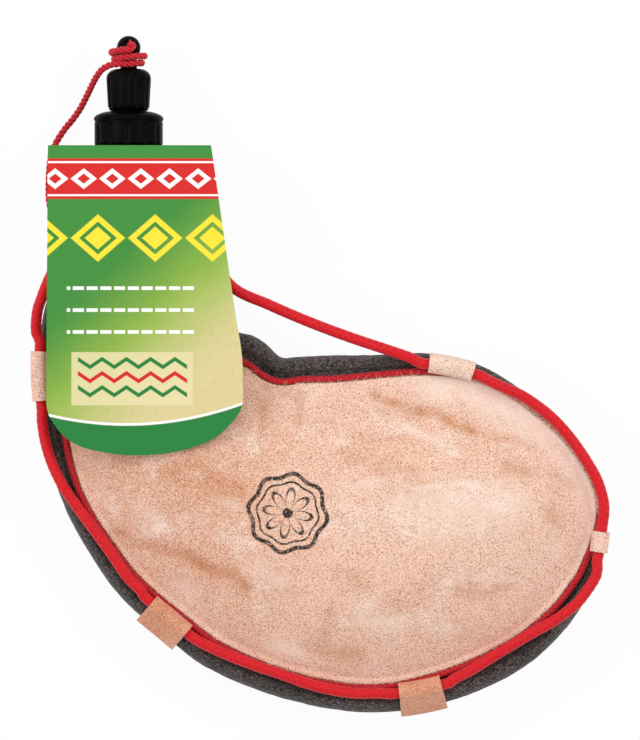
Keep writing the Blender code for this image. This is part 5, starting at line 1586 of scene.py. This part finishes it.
def make_world():
    world = bpy.data.worlds.new("world")
    bpy.context.scene.world = world
    world.use_nodes = True
    tree = world.node_tree
    tree.nodes.clear()
    dim, white = tree.nodes.new("ShaderNodeBackground"), tree.nodes.new("ShaderNodeBackground")
    dim.inputs["Color"].default_value = (1.0, 1.0, 1.0, 1.0)
    dim.inputs["Strength"].default_value = WORLD_STRENGTH
    white.inputs["Color"].default_value = (1.0, 1.0, 1.0, 1.0)
    white.inputs["Strength"].default_value = 1.0
    mix = white_for_camera(tree, dim, white)
    out = tree.nodes.new("ShaderNodeOutputWorld")
    tree.links.new(mix.outputs[0], out.inputs["Surface"])


def make_floor():
    half = FLOOR_WIDTH / 2.0
    corners = [(-half, -half, FLOOR_LEVEL), (half, -half, FLOOR_LEVEL), (half, half, FLOOR_LEVEL),
               (-half, half, FLOOR_LEVEL)]
    look = bpy.data.materials.new("white floor")
    look.use_nodes = True
    tree = look.node_tree
    shader = tree.nodes["Principled BSDF"]
    shader.inputs["Base Color"].default_value = (0.92, 0.92, 0.92, 1.0)
    shader.inputs["Roughness"].default_value = 0.9
    glow = tree.nodes.new("ShaderNodeEmission")
    glow.inputs["Strength"].default_value = 1.0
    glow.inputs["Color"].default_value = (1.0, 1.0, 1.0, 1.0)
    path = tree.nodes.new("ShaderNodeLightPath")
    share = tree.nodes.new("ShaderNodeMath")
    share.operation = "MULTIPLY"
    share.inputs[1].default_value = FLOOR_GLOW
    tree.links.new(path.outputs["Is Camera Ray"], share.inputs[0])
    mix = tree.nodes.new("ShaderNodeMixShader")
    tree.links.new(share.outputs[0], mix.inputs[0])
    tree.links.new(shader.outputs[0], mix.inputs[1])
    tree.links.new(glow.outputs[0], mix.inputs[2])
    tree.links.new(mix.outputs[0], tree.nodes["Material Output"].inputs["Surface"])
    floor = put_in_scene("floor", corners, [(0, 1, 2, 3)], [look])


def make_lamps():
    for name, place, width, length, power in LAMPS:
        lamp = bpy.data.lights.new(name, "AREA")
        lamp.shape = "RECTANGLE"
        lamp.size, lamp.size_y = width, length
        lamp.energy = power
        holder = bpy.data.objects.new(name, lamp)
        holder.location = place
        aim = Vector(LAMP_TARGET) - Vector(place)
        holder.rotation_euler = aim.to_track_quat("-Z", "Y").to_euler()
        bpy.context.scene.collection.objects.link(holder)


def dress(node, look):
    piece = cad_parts[node]
    piece.data.materials.clear()
    piece.data.materials.append(look)


def main():
    bpy.context.scene.view_settings.view_transform = "Standard"
    make_camera()
    strap_look = cord_look("red braid", STRAP_RED, STRAP_GROOVE_SHADE, 0.30, 0.75, (26.0, 420.0, 1.0))
    tether_look = cord_look("crimson cord", TETHER_RED, TETHER_GROOVE_SHADE, 0.05, 0.55, (20.0, 500.0, 1.0))
    piping_look = cord_look("piping cord", PIPING_RED, PIPING_GROOVE_SHADE, 0.0, 0.8, (14.0, 700.0, 1.0))
    make_strap(strap_look)
    make_tether(tether_look)

    front_look = suede("suede front", SUEDE_BASE, True)
    plain_suede = suede("suede", SUEDE_BASE)
    make_panel("front_panel", front_look, 1.0, 3.0)
    make_panel("back_panel", plain_suede, -1.0, 9.0)
    make_fringe(plain("suede fibre", SUEDE_FIBRE, 0.9, 300.0, 0.00005), np.random.default_rng(7))
    make_felt(felt())
    make_piping("front_piping", piping_look, 1.0)
    make_piping("back_piping", piping_look, -1.0)
    tan_loop = suede("loop suede", LOOP_TAN, False, 0.2, LOOP_TAN_LIGHT)
    other_loops = {"strap_loop_left": suede("left loop suede", LOOP_LEFT, False, 0.3),
                   "strap_loop_right": suede("right loop suede", LOOP_RIGHT, False, 0.3),
                   "strap_loop_upper_right": suede("pale loop suede", LOOP_PALE, False, 0.3)}
    for number, (name, share, length, outwards) in enumerate(LOOPS):
        make_loop(name, share, length, outwards, other_loops.get(name, tan_loop), 30.0 + number)

    black = black_plastic()
    make_collar(black)
    make_cap(black)
    make_ferrule(black)
    dress("collar_gasket", plain("gasket rubber", RUBBER_RED, 0.7, 300.0, 0.0001))
    dress("cap_seal", plain("seal rubber", RUBBER_RED, 0.7, 300.0, 0.0001))
    dress("lining_bag", plain("lining", LINER_WHITE, 0.45, 120.0, 0.0002))
    card_looks = [card_print(), plain("card back", CARD_BACK, 0.75, 900.0, 0.00005)]
    make_leaf(card_looks)
    make_flap(card_looks)

    make_floor()
    make_world()
    make_lamps()


main()
